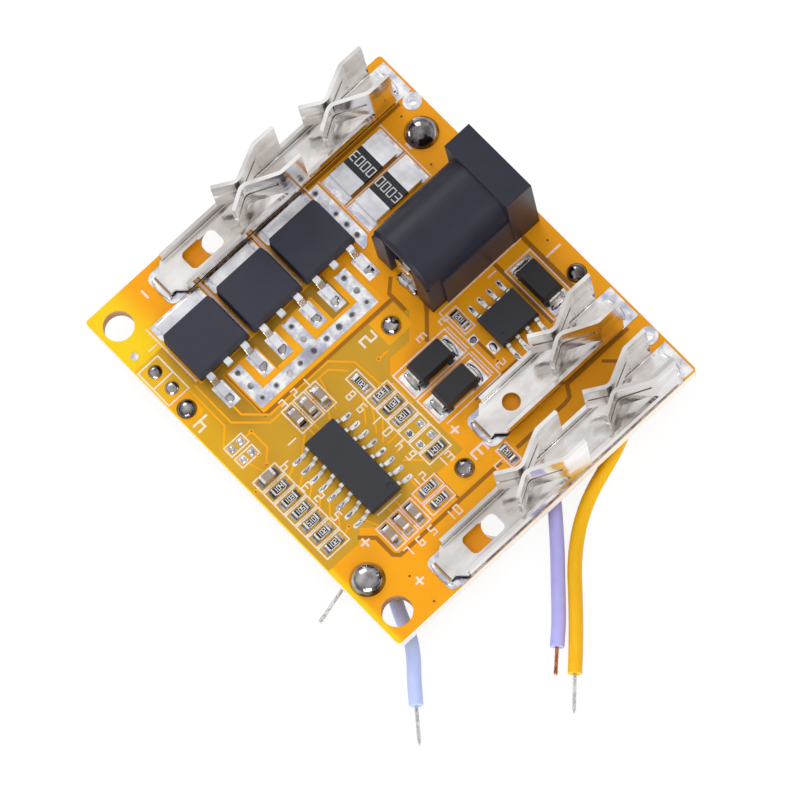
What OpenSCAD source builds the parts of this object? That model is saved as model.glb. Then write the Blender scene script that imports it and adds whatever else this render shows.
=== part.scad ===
// Charge and protection board for a small battery pack.
// The long side of the board lies along X, the charging jack opens towards +Y,
// and the tips of the through-board legs stand on the plane Z = 0.

/* [Board] */
// Length of the board, along X
board_l = 46.3; // [46.1:0.1:54]
// Width of the board, along Y
board_w = 40.2; // [39.8:0.1:48]
// Thickness of the laminate
board_t = 1.6; // [0.8:0.1:2.4]
// Radius of the board's corners
board_corner_r = 0.4; // [0.1:0.1:1.5]
// Height that the legs hold the board above what it stands on
stand_h = 2.4; // [2.3:0.1:5]
// Bore of the two fixing holes
fix_hole_d = 3.2; // [2:0.1:3.4]
// Fixing hole centre to the board's end
fix_inset_x = 2.65; // [2.3:0.05:3.2]
// Fixing hole centre to the board's front edge
fix_inset_y = 2.2; // [2:0.05:3.2]
// Bore of the two clearance holes below the strip slots
relief_hole_d = 3.2; // [2:0.1:3.6]
// Bore of the two plated lacing holes
lace_hole_d = 1.1; // [0.6:0.1:1.4]
// Lacing hole centre from the board's end, along X
lace_inset_x = 5.9; // [5.5:0.05:6.5]
// Lacing hole centre from the board's rear edge
lace_inset_y = 1; // [0.9:0.05:1.6]

/* [Spring strips] */
// Thickness of the strips' sheet metal
sheet_t = 0.4; // [0.25:0.05:0.5]
// Width of a strip over its two lips
strip_w = 4.5; // [4:0.1:4.6]
// Height of a strip's floor above the board
strip_floor_h = 0.6; // [0.4:0.1:1.2]
// Height of the lips above the strip's floor
lip_h = 1.3; // [0.6:0.1:2]
// Outer radius of the fold between floor and lip
fold_r = 0.55; // [0.5:0.05:0.8]
// Height of the contact leaves above the board
leaf_top_h = 8.6; // [7:0.1:12]
// Height of a contact leaf, from its lower to its upper edge
leaf_h = 5.2; // [4:0.1:5.4]
// Width of the upright flag that carries a leaf
flag_l = 2.7; // [2:0.1:3.6]
// Length of a leaf from its flag to the pinch
leaf_l = 3.65; // [3:0.05:5]
// Length of the flared mouth before the pinch
mouth_l = 2.35; // [1.5:0.05:3]
// Half opening of the flared mouth at its tips
mouth_half_w = 1.7; // [1:0.05:2.2]
// Gap that the leaves leave at the pinch
pinch_gap = 0.16; // [0.1:0.02:0.6]
// Bend radius of the leaves
leaf_bend_r = 1.1; // [0.6:0.1:1.4]
// Width of the slit that splits a leaf into two fingers
slit_w = 0.5; // [0.2:0.05:0.8]
// Corner radius of the finger tips
finger_tip_r = 0.8; // [0.2:0.05:1]
// Distance between the two contacts of a discharge strip
contact_pitch = 11.85; // [10.5:0.05:14]
// Rear end of the strips from the board's rear edge
strip_rear_gap = 2.3; // [2.1:0.1:4]
// Length of the discharge strips' floor
power_strip_l = 29.2; // [28:0.1:31]
// Length of the charge strip's floor
charge_strip_l = 16.5; // [16:0.1:18]
// Front end of the lips from the floor's front end
lip_setback = 1.1; // [0.9:0.1:1.5]
// Negative strip's outer lip from the board's end
neg_edge_gap = 0.65; // [0.4:0.05:0.7]
// Positive strip's outer lip from the board's end
pos_edge_gap = 0; // [0:0.05:0.6]
// Charge strip's centre to the positive strip's centre
charge_pitch_x = 7.93; // [7.6:0.01:8.2]
// Width of the slot in the discharge strips' floor
slot_w = 2.25; // [1.5:0.05:2.5]
// Length of that slot
slot_l = 4.25; // [3:0.05:5]
// Slot centre from the strip's front end
slot_from_front = 4.85; // [4:0.05:6]
// Corner radius of the slot
slot_r = 0.6; // [0.2:0.05:0.75]
// Bore of the hole in the charge strip's floor
charge_hole_d = 1.9; // [1:0.1:2.4]
// Centre of that hole from the strip's front end
charge_hole_from_front = 3.3; // [2.5:0.1:5]
// Width of the legs that fold down from a strip's ends
leg_w = 2.4; // [1.5:0.1:2.6]
// Clearance of a leg or tail in its board slot
leg_fit = 0.1; // [0.05:0.05:0.2]
// Thickness of the tinning on the board's bare copper
tin_t = 0.08; // [0.03:0.01:0.15]

/* [Charging jack] */
// Width of the mouth block
jack_w = 9; // [8.6:0.1:9.2]
// Height of the mouth block
jack_h = 11; // [10.8:0.1:12]
// Depth of the mouth block
jack_block_l = 3.3; // [2.5:0.1:4]
// Length of the housing, mouth to rear
jack_l = 14.1; // [13.6:0.1:14.4]
// Share of the row's free width that lies between the shunts and the jack
jack_gap_share = 0.32; // [0.28:0.01:0.34]
// Mouth face from the board's rear edge
jack_edge_gap = 0.5; // [0:0.1:0.6]
// Height of the plug axis above the board
jack_axis_h = 6.4; // [6.2:0.1:6.6]
// Radius of the rounded barrel
barrel_r = 4.15; // [3.9:0.05:4.3]
// Bore for the plug
jack_bore_d = 6.4; // [6:0.1:6.6]
// Depth of that bore
jack_bore_l = 10.4; // [9:0.1:11]
// Diameter of the centre pin
jack_pin_d = 2; // [1.6:0.1:2.5]
// Pin tip's setback inside the mouth
jack_pin_setback = 1.2; // [0.6:0.1:3]
// Width of the rear blade
blade_w = 2.6; // [2:0.1:3]
// Thickness of the jack's contacts
blade_t = 0.35; // [0.25:0.05:0.5]
// Depth of the recess behind the barrel
rear_recess_l = 1.3; // [1:0.1:1.8]

/* [Transistors] */
// Number of power transistors
fet_count = 3; // [2:1:3]
// Distance between the transistors, along Y
fet_pitch = 7.15; // [6.9:0.05:7.2]
// Length of the moulded body, along X
fet_l = 6.05; // [5.8:0.05:6.2]
// Width of the moulded body, along Y
fet_w = 6.6; // [6.2:0.05:6.7]
// Height of the moulded body
fet_h = 2.3; // [2:0.1:2.6]
// Transistor body from the negative strip's inner lip
fet_strip_gap = 1.85; // [1.8:0.05:2.2]
// Centre of the rear transistor, along Y
fet_y = 1.62; // [1.4:0.02:1.8]
// Width of the heat tab
fet_tab_w = 5.3; // [4.8:0.1:5.6]
// Length of the heat tab beyond the body
fet_tab_l = 1.6; // [1:0.1:1.7]
// Thickness of the transistors' lead frame
fet_lead_t = 0.5; // [0.4:0.05:0.6]
// Width of a lead
fet_lead_w = 0.78; // [0.6:0.02:1]
// Distance between neighbouring leads
fet_lead_pitch = 2.29; // [2.2:0.01:2.4]
// Reach of a long lead beyond the body
fet_lead_l = 2.65; // [2.2:0.05:2.9]
// Source bus from the transistor bodies
bus_gap = 4.5; // [4.2:0.1:4.8]

/* [Controller and gate chip] */
// Distance between neighbouring chip leads
lead_pitch = 1.27; // [1:0.01:1.3]
// Thickness of the chip leads
chip_lead_t = 0.2; // [0.15:0.01:0.25]
// Width of the chip leads
chip_lead_w = 0.42; // [0.3:0.01:0.5]
// Reach of a chip lead beyond the body
chip_lead_l = 1.05; // [0.9:0.05:1.3]
// Width of a chip body between its lead rows
chip_w = 3.9; // [3.7:0.05:4]
// Height of a chip body's top above the board
chip_top_h = 1.6; // [1.4:0.05:1.9]
// Gap between a chip body and the board
chip_standoff = 0.12; // [0.05:0.01:0.2]
// Leads on each side of the controller
ctrl_leads = 8; // [7:1:8]
// Controller centre, along X
ctrl_x = 6.85; // [6.6:0.05:7.1]
// Controller centre, along Y
ctrl_y = -11.1; // [-11.3:0.05:-10.9]
// Leads on each side of the gate chip
gate_leads = 4; // [3:1:4]
// Share of the row's free width that lies between the gate chip and the charge strip
gate_gap_share = 0.238; // [0.22:0.002:0.26]
// Gate chip centre, along Y
gate_y = 10.3; // [10.1:0.05:10.4]

/* [Diodes and shunts] */
// Length of a diode body
diode_l = 4.3; // [4:0.1:4.5]
// Width of a diode body
diode_w = 2.6; // [2.3:0.1:2.8]
// Height of a diode's top above the board
diode_h = 2.15; // [1.9:0.05:2.5]
// Width of a diode lead
diode_lead_w = 1.45; // [1.2:0.05:1.6]
// Thickness of a diode lead
diode_lead_t = 0.18; // [0.15:0.01:0.25]
// Length of a current shunt
shunt_l = 6.35; // [6:0.05:6.5]
// Width of a current shunt
shunt_w = 3.2; // [3:0.05:3.3]
// Height of a current shunt
shunt_h = 0.65; // [0.5:0.05:0.9]
// Length of a shunt's bright end
shunt_end_l = 1.95; // [1.5:0.05:2.2]
// Distance between the two shunts
shunt_pitch = 3.8; // [3.7:0.05:3.85]
// First shunt from the negative strip's inner lip
shunt_strip_gap = 0.75; // [0.6:0.05:0.8]
// Centre of the shunts from the board's rear edge
shunt_from_rear = 9.15; // [9:0.05:9.3]

/* [Chip resistors and capacitors] */
// Length of a chip part
chip_l = 1.6; // [1.4:0.05:1.7]
// Breadth of a chip part
chip_b = 0.8; // [0.7:0.02:0.9]
// Height of a chip resistor
res_h = 0.45; // [0.35:0.05:0.6]
// Height of a chip capacitor
cap_h = 0.8; // [0.6:0.05:0.95]
// Length of a chip part's end cap
cap_end_l = 0.3; // [0.2:0.02:0.4]
// Thickness of the plating on the end caps
cap_plate = 0.03; // [0.02:0.01:0.05]
// Distance between neighbours in a row of chip parts
chip_pitch = 1.59; // [1.5:0.01:1.7]
// Resistors in the front row
front_row_count = 6; // [5:1:6]

/* [Solder joints and wires] */
// Radius of the two pack terminals' solder domes
power_dome_r = 1.8; // [1.5:0.1:2]
// Height of those domes
power_dome_h = 1.35; // [1:0.05:1.6]
// Bore of the holes under those domes
power_hole_d = 1.8; // [1.2:0.1:2.2]
// Radius of the cell tap solder domes
tap_dome_r = 1.05; // [0.9:0.05:1.15]
// Height of those domes
tap_dome_h = 0.75; // [0.5:0.05:0.9]
// Bore of the cell tap holes
tap_hole_d = 1; // [0.8:0.1:1.2]
// Radius of the probe solder bumps
probe_dome_r = 0.75; // [0.6:0.05:0.85]
// Height of those bumps
probe_dome_h = 0.45; // [0.3:0.05:0.6]
// Diameter of a wire over its insulation
wire_d = 1.45; // [1.2:0.05:1.5]
// Diameter of a wire's twisted core
core_d = 0.4; // [0.3:0.02:0.5]
// Length of a wire's bare tip
tip_l = 4; // [3:0.1:6]
// Bend radius of a bare core under its joint
core_bend_r = 0.9; // [0.8:0.05:1]

/* [Hidden] */
$fn = 48;
eps = 0.01;
chip_end_l = 1.05;

// --- board datums -----------------------------------------------------------
top_z = stand_h + board_t;
under_z = stand_h;
west = -board_l / 2;
east = board_l / 2;
south = -board_w / 2;
north = board_w / 2;
fix_x = board_l / 2 - fix_inset_x;
fix_y = south + fix_inset_y;
lace_x = board_l / 2 - lace_inset_x;
lace_y = north - lace_inset_y;

// --- strip datums -----------------------------------------------------------
neg_x = west + neg_edge_gap + strip_w / 2;
pos_x = east - pos_edge_gap - strip_w / 2;
charge_x = pos_x - charge_pitch_x;
strip_rear_y = north - strip_rear_gap;
power_front_y = strip_rear_y - power_strip_l;
charge_front_y = strip_rear_y - charge_strip_l;
strip_bottom_z = top_z + strip_floor_h;
strip_floor_z = strip_bottom_z + sheet_t;
lip_top_z = strip_floor_z + lip_h;
leaf_top_z = top_z + leaf_top_h;
leaf_low_z = leaf_top_z - leaf_h;
slit_z = (leaf_top_z + leaf_low_z) / 2;
leaf_fillet_r = leaf_low_z - lip_top_z;
leg_bend_r = sheet_t;
slot_centre_y = power_front_y + slot_from_front;
relief_y = slot_centre_y + 1.8;
floor_half_w = strip_w / 2 - fold_r;
pad_front_margin = 0.7;
pad_rear_margin = 1.45;
pad_w = strip_w - 0.4;
pad_end_r = 0.8;

// Centre of a piece of width w between x0 and x1; share of the free width lies before it
function spaced(x0, x1, w, share) = x0 + w / 2 + share * (x1 - x0 - w);

// --- the row of shunts, jack and gate chip, from strip to strip ---------------
charge_x0 = charge_x - strip_w / 2;
shunt_x = neg_x + strip_w / 2 + shunt_strip_gap + shunt_w / 2;
shunt_y = north - shunt_from_rear;
shunts_x1 = shunt_x + shunt_pitch + shunt_w / 2;
jack_body_w = jack_w - 0.2;
switch_gap = 0.35;
switch_half_w = jack_body_w / 2 + switch_gap + blade_t / 2;
gate_half_w = chip_w / 2 + chip_lead_l;
row_free = charge_x0 - shunts_x1 - switch_half_w - jack_w / 2 - 2 * gate_half_w;
jack_x = shunts_x1 + jack_gap_share * row_free + switch_half_w;
gate_x = charge_x0 - gate_gap_share * row_free - gate_half_w;

// --- jack datums ------------------------------------------------------------
jack_mouth_y = north - jack_edge_gap;
jack_rear_y = jack_mouth_y - jack_l;
jack_axis_z = top_z + jack_axis_h;
jack_base_w = jack_w - 0.5;
jack_floor_h = jack_axis_h - jack_bore_d / 2;
recess_y = jack_rear_y + rear_recess_l;
recess_w = blade_w + 1.4;
recess_h = jack_axis_h + 3.1;
rim_chamfer = 0.4;
blade_y = recess_y - blade_t;
tail_w = 2.2;
spring_setback = 2.2;
spring_tail_y = jack_rear_y + 6.6;
switch_tail_y = jack_rear_y + 3.6;
switch_x = jack_x - jack_body_w / 2 - switch_gap;
switch_top_z = top_z + 3.8;
switch_reach = 0.9;
rear_step_l = 1.8;
rear_step_d = 0.3;
groove_w = tail_w + 0.4;
pin_tip_y = jack_mouth_y - jack_pin_setback;
pin_seat_y = jack_mouth_y - jack_bore_l;
pin_shank_d = jack_pin_d + 0.4;
pin_dome = jack_pin_d / 2;

// --- transistor datums ------------------------------------------------------
fet_x0 = neg_x + strip_w / 2 + fet_strip_gap;
fet_x1 = fet_x0 + fet_l;
fet_lead_z = 1.15;
fet_pocket_l = 4.6;
fet_corner = 0.6;
bus_x0 = fet_x1 + bus_gap;
bus_w = 1.5;
bus_arm_x0 = fet_x1 + 1;
via_strip_x0 = fet_x0 - 1.35;
via_strip_x1 = fet_x1 + 0.3;
via_strip_y = fet_y + fet_w / 2 + 0.1;
via_strip_w = 1.3;

// --- columns of small parts between their neighbours ------------------------
ctrl_half_l = ((ctrl_leads - 1) * lead_pitch + chip_end_l) / 2;
gate_half_l = ((gate_leads - 1) * lead_pitch + chip_end_l) / 2;
tap_rear_y = north - 1.6;
bus_x1 = bus_x0 + bus_w;
left_cap_x = spaced(bus_x1, ctrl_x - ctrl_half_l, chip_l, 0.5365);
right_col_x = spaced(ctrl_x + ctrl_half_l, pos_x - strip_w / 2, chip_l, 0.3403);

// --- diodes: x, y and turn ---------------------------------------------------
diode_1_y = spaced(gate_y + gate_half_l, tap_rear_y - tap_dome_r, diode_w, 0.481);
diode_places = [[gate_x - 0.55, diode_1_y, 0], [gate_x - 2, 1.7, 90], [gate_x + 1.6, 1.7, 90]];

// --- joints, as [x, y] on the board ----------------------------------------
pack_neg = [west + 9, north - 2.6];
pack_pos = [east - 7.05, south + 2.3];
tap_1 = [gate_x + 1.1, tap_rear_y];
tap_2 = [spaced(bus_x1, diode_places[1][0] - diode_w / 2, 2 * tap_dome_r, 0.3137), 1.6];
tap_3 = [right_col_x + 0.05, -3.2];
tap_4 = [west + 13.8, south + 1.3];
probe_1 = [west + 8.75, south + 1.6];
probe_2 = probe_1 + [2.4, 0.1];
// Heading of each tap's core under the board, in degrees from +X
tap_headings = [-38, 8, -150, 75];
taps = [tap_1, tap_2, tap_3, tap_4];
wire_z = wire_d / 2;
core_tail = 0.6;
// Bare tips: the violet wire's is cut short and the grey wire's is left long
tips = [tip_l, tip_l - 1.2, tip_l, tip_l + 0.4];

// --- chip part places ------------------------------------------------------
front_row_x = 3.2;
front_row_y = south + 2.3;
mid_row_x = 3.15;
mid_row_y = -3.95;
mid_row_slots = [0, 1, 2, 5];
// Single resistors: x, y and turn
single_res = [[3, 6.9, 0], [0.9, -4.65, 0], [charge_x + 3.43, 0.85, 0],
    [right_col_x - 0.9, -7.2, 90], [right_col_x + 0.75, -7.2, 90]];
cap_pitch_y = 1.6;
left_caps = [left_cap_x, -8.4];
right_caps = [right_col_x, -9.9];
front_cap = [1.6, front_row_y];

// --- wire routes, hand laid on the standing plane, measured from their taps ---
yellow_route = [[3.3, -2.3], [5.5, -3], [7.9, -3.3], [10.3, -3.9], [12.4, -5.1], [14, -6.9],
    [15.1, -9.1], [15.9, -11.5], [16.7, -13.9], [17.8, -16.2], [19.3, -18.4], [21.1, -20.4],
    [23.1, -22.2], [25.1, -24], [27.1, -25.9], [29, -27.8]];
violet_route = [[4.25, 0.6], [6.65, 1], [9.25, 1.6], [11.85, 2.2], [14.45, 2.6], [17.05, 2.6],
    [19.45, 2], [21.65, 1], [23.65, -0.3], [25.65, -1.9], [27.65, -3.6], [29.65, -5.4], [31.65, -7.2],
    [33.25, -8.7], [34.75, -10.3]];
blue_route = [[-3.55, -2.3], [-4.95, -4], [-5.55, -6.1], [-5.25, -8.2], [-4.05, -10], [-2.25, -11.3],
    [-0.15, -12], [1.95, -12.5], [3.95, -13.5], [5.85, -14.4], [7.75, -15.1], [9.55, -16.2],
    [11.55, -17.9], [13.55, -19.5]];
grey_route = [[0.95, 4.4], [1.95, 6.6], [3.75, 8.2], [6.05, 8.8], [8.35, 8.5], [10.55, 7.6],
    [12.65, 6.5], [14.75, 5.3], [16.85, 4.2], [18.95, 3.3], [20.95, 2.6], [22.45, 1.6], [23.25, 0.4],
    [23.5, -0.8]];
wire_sides = 8;

// ============================ shared shapes ================================

// A bar of size s that is centred in X and Y and stands on z
module bar(s, x = 0, y = 0, z = 0) {
    translate([x - s[0] / 2, y - s[1] / 2, z])
        cube(s);
}

function unit(v) = v / norm(v);

// Left-hand normal of a flat direction
function left(v) = [-v[1], v[0]];

// Points of a bend of radius r at p, between the legs towards a and b
function bend(a, p, b, r, n = 5) =
    let (
        u = unit(a - p),
        v = unit(b - p),
        half = acos(u * v) / 2,
        reach = r / tan(half),
        centre = p + unit(u + v) * r / sin(half),
        s = p + u * reach - centre,
        e = p + v * reach - centre
    )
    [for (i = [0 : n]) centre + r * unit(s * (1 - i / n) + e * (i / n))];

// A centre line with every inner corner rounded to radius r
function bent_line(p, r) = concat(
    [p[0]],
    [for (i = [1 : len(p) - 2]) each bend(p[i - 1], p[i], p[i + 1], r)],
    [p[len(p) - 1]]);

// Direction of a line at point i
function heading(p, i) = i == 0 ? unit(p[1] - p[0])
    : i == len(p) - 1 ? unit(p[i] - p[i - 1])
    : unit(unit(p[i] - p[i - 1]) + unit(p[i + 1] - p[i]));

// Line moved sideways by d, kept parallel at its corners
function offset_line(p, d) = [for (i = [0 : len(p) - 1])
    let (
        h = heading(p, i),
        seg = i == 0 ? unit(p[1] - p[0]) : unit(p[i] - p[i - 1])
    )
    p[i] + left(h) * d / (h * seg)];

function reversed(p) = [for (i = [len(p) - 1 : -1 : 0]) p[i]];

// Flat outline of a sheet of thickness t along a bent centre line
module sheet_outline(p, t, r) {
    line = bent_line(p, r);
    polygon(concat(offset_line(line, t / 2), reversed(offset_line(line, -t / 2))));
}

// A lead of width w, bent in the XZ plane along points [x, z]
module bent_lead(p, t, r, w) {
    translate([0, w / 2, 0])
        rotate([90, 0, 0])
            linear_extrude(w)
                sheet_outline(p, t, r);
}

// Moulded body with drafted sides, parted at height split between z0 and z1
module moulded(l, w, z0, z1, split, band, draft) {
    hull() {
        bar([l, w, band], 0, 0, split - band / 2);
        bar([l - 2 * draft, w - 2 * draft, eps], 0, 0, z1 - eps);
        bar([l - 2 * draft, w - 2 * draft, eps], 0, 0, z0);
    }
}

// Solder dome: a spherical cap of radius r and height h, standing on z = 0
module dome(r, h) {
    ball = (r * r + h * h) / (2 * h);
    rotate_extrude()
        intersection() {
            translate([0, h - ball])
                circle(ball);
            square([r, h]);
        }
}

// =============================== board =====================================

module leg_slot(x, y, w, t) {
    bar([w + 2 * leg_fit, t + 2 * leg_fit, board_t + 2], x, y, under_z - 1);
}

module drilled(x, y, d) {
    translate([x, y, under_z - 1])
        cylinder(d = d, h = board_t + 2);
}

module board_outline() {
    r = board_corner_r;
    union() {
        square([board_l - 2 * r, board_w], center = true);
        square([board_l, board_w - 2 * r], center = true);
        for (sx = [-1, 1], sy = [-1, 1])
            translate([sx * (board_l / 2 - r), sy * (board_w / 2 - r)])
                circle(r);
    }
}

module board() {
    color("orange")
        difference() {
            translate([0, 0, under_z])
                linear_extrude(board_t)
                    board_outline();
            for (s = [-1, 1]) {
                drilled(s * fix_x, fix_y, fix_hole_d);
                drilled(s * lace_x, lace_y, lace_hole_d);
                drilled(s * fix_x, relief_y, relief_hole_d);
            }
            for (x = [neg_x, pos_x])
                leg_slot(x, front_leg_y(power_front_y), leg_w, sheet_t);
            leg_slot(charge_x, front_leg_y(charge_front_y), leg_w, sheet_t);
            for (x = [neg_x, charge_x, pos_x])
                leg_slot(x, rear_leg_y(), leg_w, sheet_t);
            leg_slot(jack_x, blade_y + blade_t / 2, blade_w, blade_t);
            leg_slot(jack_x, spring_tail_y, tail_w, blade_t);
            leg_slot(switch_x, switch_tail_y, blade_t, tail_w);
            for (p = [pack_neg, pack_pos])
                drilled(p[0], p[1], power_hole_d);
            for (p = taps)
                drilled(p[0], p[1], tap_hole_d);
        }
}

// Bare copper areas, tinned: strip pads, shunt pads and the source bus
module tinned_copper() {
    module pad(x0, x1, y0, y1) {
        translate([x0, y0, top_z])
            cube([x1 - x0, y1 - y0, tin_t]);
    }
    module strip_pad(x, front_y) {
        w = pad_w;
        r = pad_end_r;
        y0 = front_leg_y(front_y) - pad_front_margin;
        y1 = rear_leg_y() + pad_rear_margin;
        translate([0, 0, top_z])
            linear_extrude(tin_t)
                difference() {
                    union() {
                        translate([x - w / 2, y0 + r])
                            square([w, y1 - y0 - r]);
                        translate([x - w / 2 + r, y0])
                            square([w - 2 * r, r + eps]);
                        for (s = [-1, 1])
                            translate([x + s * (w / 2 - r), y0 + r])
                                circle(r);
                    }
                    for (y = [front_leg_y(front_y), rear_leg_y()])
                        translate([x, y])
                            square([leg_w + 2 * leg_fit, sheet_t + 2 * leg_fit], center = true);
                    for (s = [-1, 1])
                        translate([s * fix_x, relief_y])
                            circle(d = relief_hole_d);
                }
    }
    color("silver") {
        strip_pad(neg_x, power_front_y);
        strip_pad(charge_x, charge_front_y);
        strip_pad(pos_x, power_front_y);
        pad(bus_x0, bus_x0 + bus_w, fet_centre_y(fet_count - 1) - bus_w / 2, fet_y + bus_w / 2);
        for (i = [0 : fet_count - 1])
            pad(bus_arm_x0, bus_x0, fet_centre_y(i) - bus_w / 2, fet_centre_y(i) + bus_w / 2);
        translate([0, via_strip_y, top_z])
            linear_extrude(tin_t)
                polygon([[via_strip_x0, 0], [via_strip_x1 + 0.6, 0], [via_strip_x1 + 0.6, 0.5],
                    [via_strip_x1 - 0.2, via_strip_w], [via_strip_x0, via_strip_w]]);
    }
}

// ============================ spring strips ================================

function front_leg_y(front_y) = front_y - leg_bend_r - sheet_t / 2;
function rear_leg_y() = strip_rear_y + leg_bend_r + sheet_t / 2;

// U-shaped cross section of a strip, in X and Z
module strip_section() {
    w = strip_w;
    t = sheet_t;
    ri = fold_r - t;
    difference() {
        union() {
            translate([-w / 2, strip_bottom_z + fold_r])
                square([w, lip_top_z - strip_bottom_z - fold_r]);
            translate([-w / 2 + fold_r, strip_bottom_z])
                square([w - 2 * fold_r, fold_r]);
            for (s = [-1, 1])
                translate([s * (w / 2 - fold_r), strip_bottom_z + fold_r])
                    circle(fold_r);
        }
        translate([-w / 2 + t, strip_floor_z + ri])
            square([w - 2 * t, lip_h + 1]);
        translate([-w / 2 + t + ri, strip_floor_z])
            square([w - 2 * t - 2 * ri, lip_h + 1]);
        for (s = [-1, 1])
            translate([s * (w / 2 - t - ri), strip_floor_z + ri])
                circle(ri);
    }
}

// Plan of the right-hand leaf: flag, pinch and flared mouth, rear end at y = 0
module leaf_plan() {
    x_flag = strip_w / 2 - sheet_t / 2;
    x_pinch = pinch_gap / 2 + sheet_t / 2;
    y_flag = -flag_l;
    y_pinch = y_flag - leaf_l;
    line = [[x_flag, 0], [x_flag, y_flag], [x_pinch, y_pinch], [mouth_half_w, y_pinch - mouth_l]];
    sheet_outline(line, sheet_t, leaf_bend_r);
}

// One finger of a leaf seen from the side, in Y and Z
module finger(y0, y1, z0, z1) {
    r = min(finger_tip_r, (z1 - z0) / 2);
    translate([y0 + r, z0])
        square([y1 - y0 - r, z1 - z0]);
    translate([y0, z0 + r])
        square([r + eps, max(z1 - z0 - 2 * r, eps)]);
    for (z = [z0 + r, z1 - r])
        translate([y0 + r, z])
            circle(r);
}

// Side view of a leaf: flag, root fillet and two fingers, rear end at y = 0
module leaf_side() {
    y_flag = -flag_l;
    y_tip = y_flag - leaf_l - mouth_l - sheet_t;
    slit_root = y_flag - 0.1;
    r = leaf_fillet_r;
    translate([y_flag, strip_floor_z])
        square([flag_l, leaf_top_z - strip_floor_z]);
    difference() {
        translate([y_flag - r, leaf_low_z - r])
            square([r + eps, r + eps]);
        translate([y_flag - r, leaf_low_z - r])
            circle(r);
    }
    difference() {
        union() {
            finger(y_tip, y_flag + eps, leaf_low_z, slit_z - slit_w / 2);
            finger(y_tip, y_flag + eps, slit_z + slit_w / 2, leaf_top_z);
            translate([slit_root - slit_w, slit_z - slit_w])
                square([slit_w + 0.1 + eps, 2 * slit_w]);
        }
        translate([slit_root - slit_w, slit_z])
            circle(d = slit_w);
        translate([slit_root - 2 * slit_w, slit_z - slit_w / 2])
            square([slit_w, slit_w]);
    }
}

// A pair of leaves that face each other, rear edge of the flags at y
module contact(x, y) {
    for (s = [0, 1])
        translate([x, y, 0])
            mirror([s, 0, 0])
                intersection() {
                    translate([0, 0, strip_floor_z])
                        linear_extrude(leaf_top_z - strip_floor_z)
                            leaf_plan();
                    translate([-1, 0, 0])
                        rotate([90, 0, 90])
                            linear_extrude(strip_w)
                                leaf_side();
                }
}

// A leg that folds down from the floor's end at y; dir is the way it points
module strip_leg(x, y, dir) {
    mid_z = strip_bottom_z + sheet_t / 2;
    drop = leg_bend_r + sheet_t / 2;
    line = [[-1, mid_z], [drop, mid_z], [drop, 0]];
    translate([x, y, 0])
        rotate([0, 0, 90 * dir])
            bent_lead(line, sheet_t, leg_bend_r, leg_w);
}

// A complete strip: channel, chamfered floor end, contacts and two legs
module strip(x, front_y, flag_ys) {
    lip_front = front_y + lip_setback;
    chamfer_y = front_y + strip_w / 2 - sheet_t / 2 - leg_w / 2;
    chamfer_x = strip_w / 2 - sheet_t / 2;
    difference() {
        union() {
            translate([x, strip_rear_y, 0])
                rotate([90, 0, 0])
                    linear_extrude(strip_rear_y - lip_front)
                        strip_section();
            translate([x, 0, strip_bottom_z])
                linear_extrude(sheet_t)
                    polygon([[-floor_half_w, lip_front + 1], [-floor_half_w, lip_front],
                        [-chamfer_x, lip_front], [-chamfer_x, chamfer_y],
                        [-leg_w / 2, front_y], [leg_w / 2, front_y], [chamfer_x, chamfer_y],
                        [chamfer_x, lip_front], [floor_half_w, lip_front], [floor_half_w, lip_front + 1]]);
            for (y = flag_ys)
                contact(x, y);
            strip_leg(x, front_y, -1);
            strip_leg(x, strip_rear_y, 1);
        }
        children();
    }
}

// Slot with rounded corners through a strip's floor
module floor_slot(x) {
    translate([x, slot_centre_y, strip_bottom_z - 1])
        linear_extrude(sheet_t + 2)
            union() {
                square([slot_w - 2 * slot_r, slot_l], center = true);
                square([slot_w, slot_l - 2 * slot_r], center = true);
                for (sx = [-1, 1], sy = [-1, 1])
                    translate([sx * (slot_w / 2 - slot_r), sy * (slot_l / 2 - slot_r)])
                        circle(slot_r);
            }
}

module strip_negative() {
    color("gainsboro")
        strip(neg_x, power_front_y, [strip_rear_y, strip_rear_y - contact_pitch])
            floor_slot(neg_x);
}

module strip_positive() {
    color("gainsboro")
        strip(pos_x, power_front_y, [strip_rear_y, strip_rear_y - contact_pitch])
            floor_slot(pos_x);
}

module strip_charge() {
    color("gainsboro")
        strip(charge_x, charge_front_y, [strip_rear_y])
            translate([charge_x, charge_front_y + charge_hole_from_front, strip_bottom_z - 1])
                cylinder(d = charge_hole_d, h = sheet_t + 2);
}

// ============================ charging jack ================================

// A cylinder along Y from y0 to y1 on the plug axis
module along_axis(d, y0, y1) {
    translate([jack_x, y1, jack_axis_z])
        rotate([90, 0, 0])
            cylinder(d = d, h = y1 - y0);
}

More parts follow.
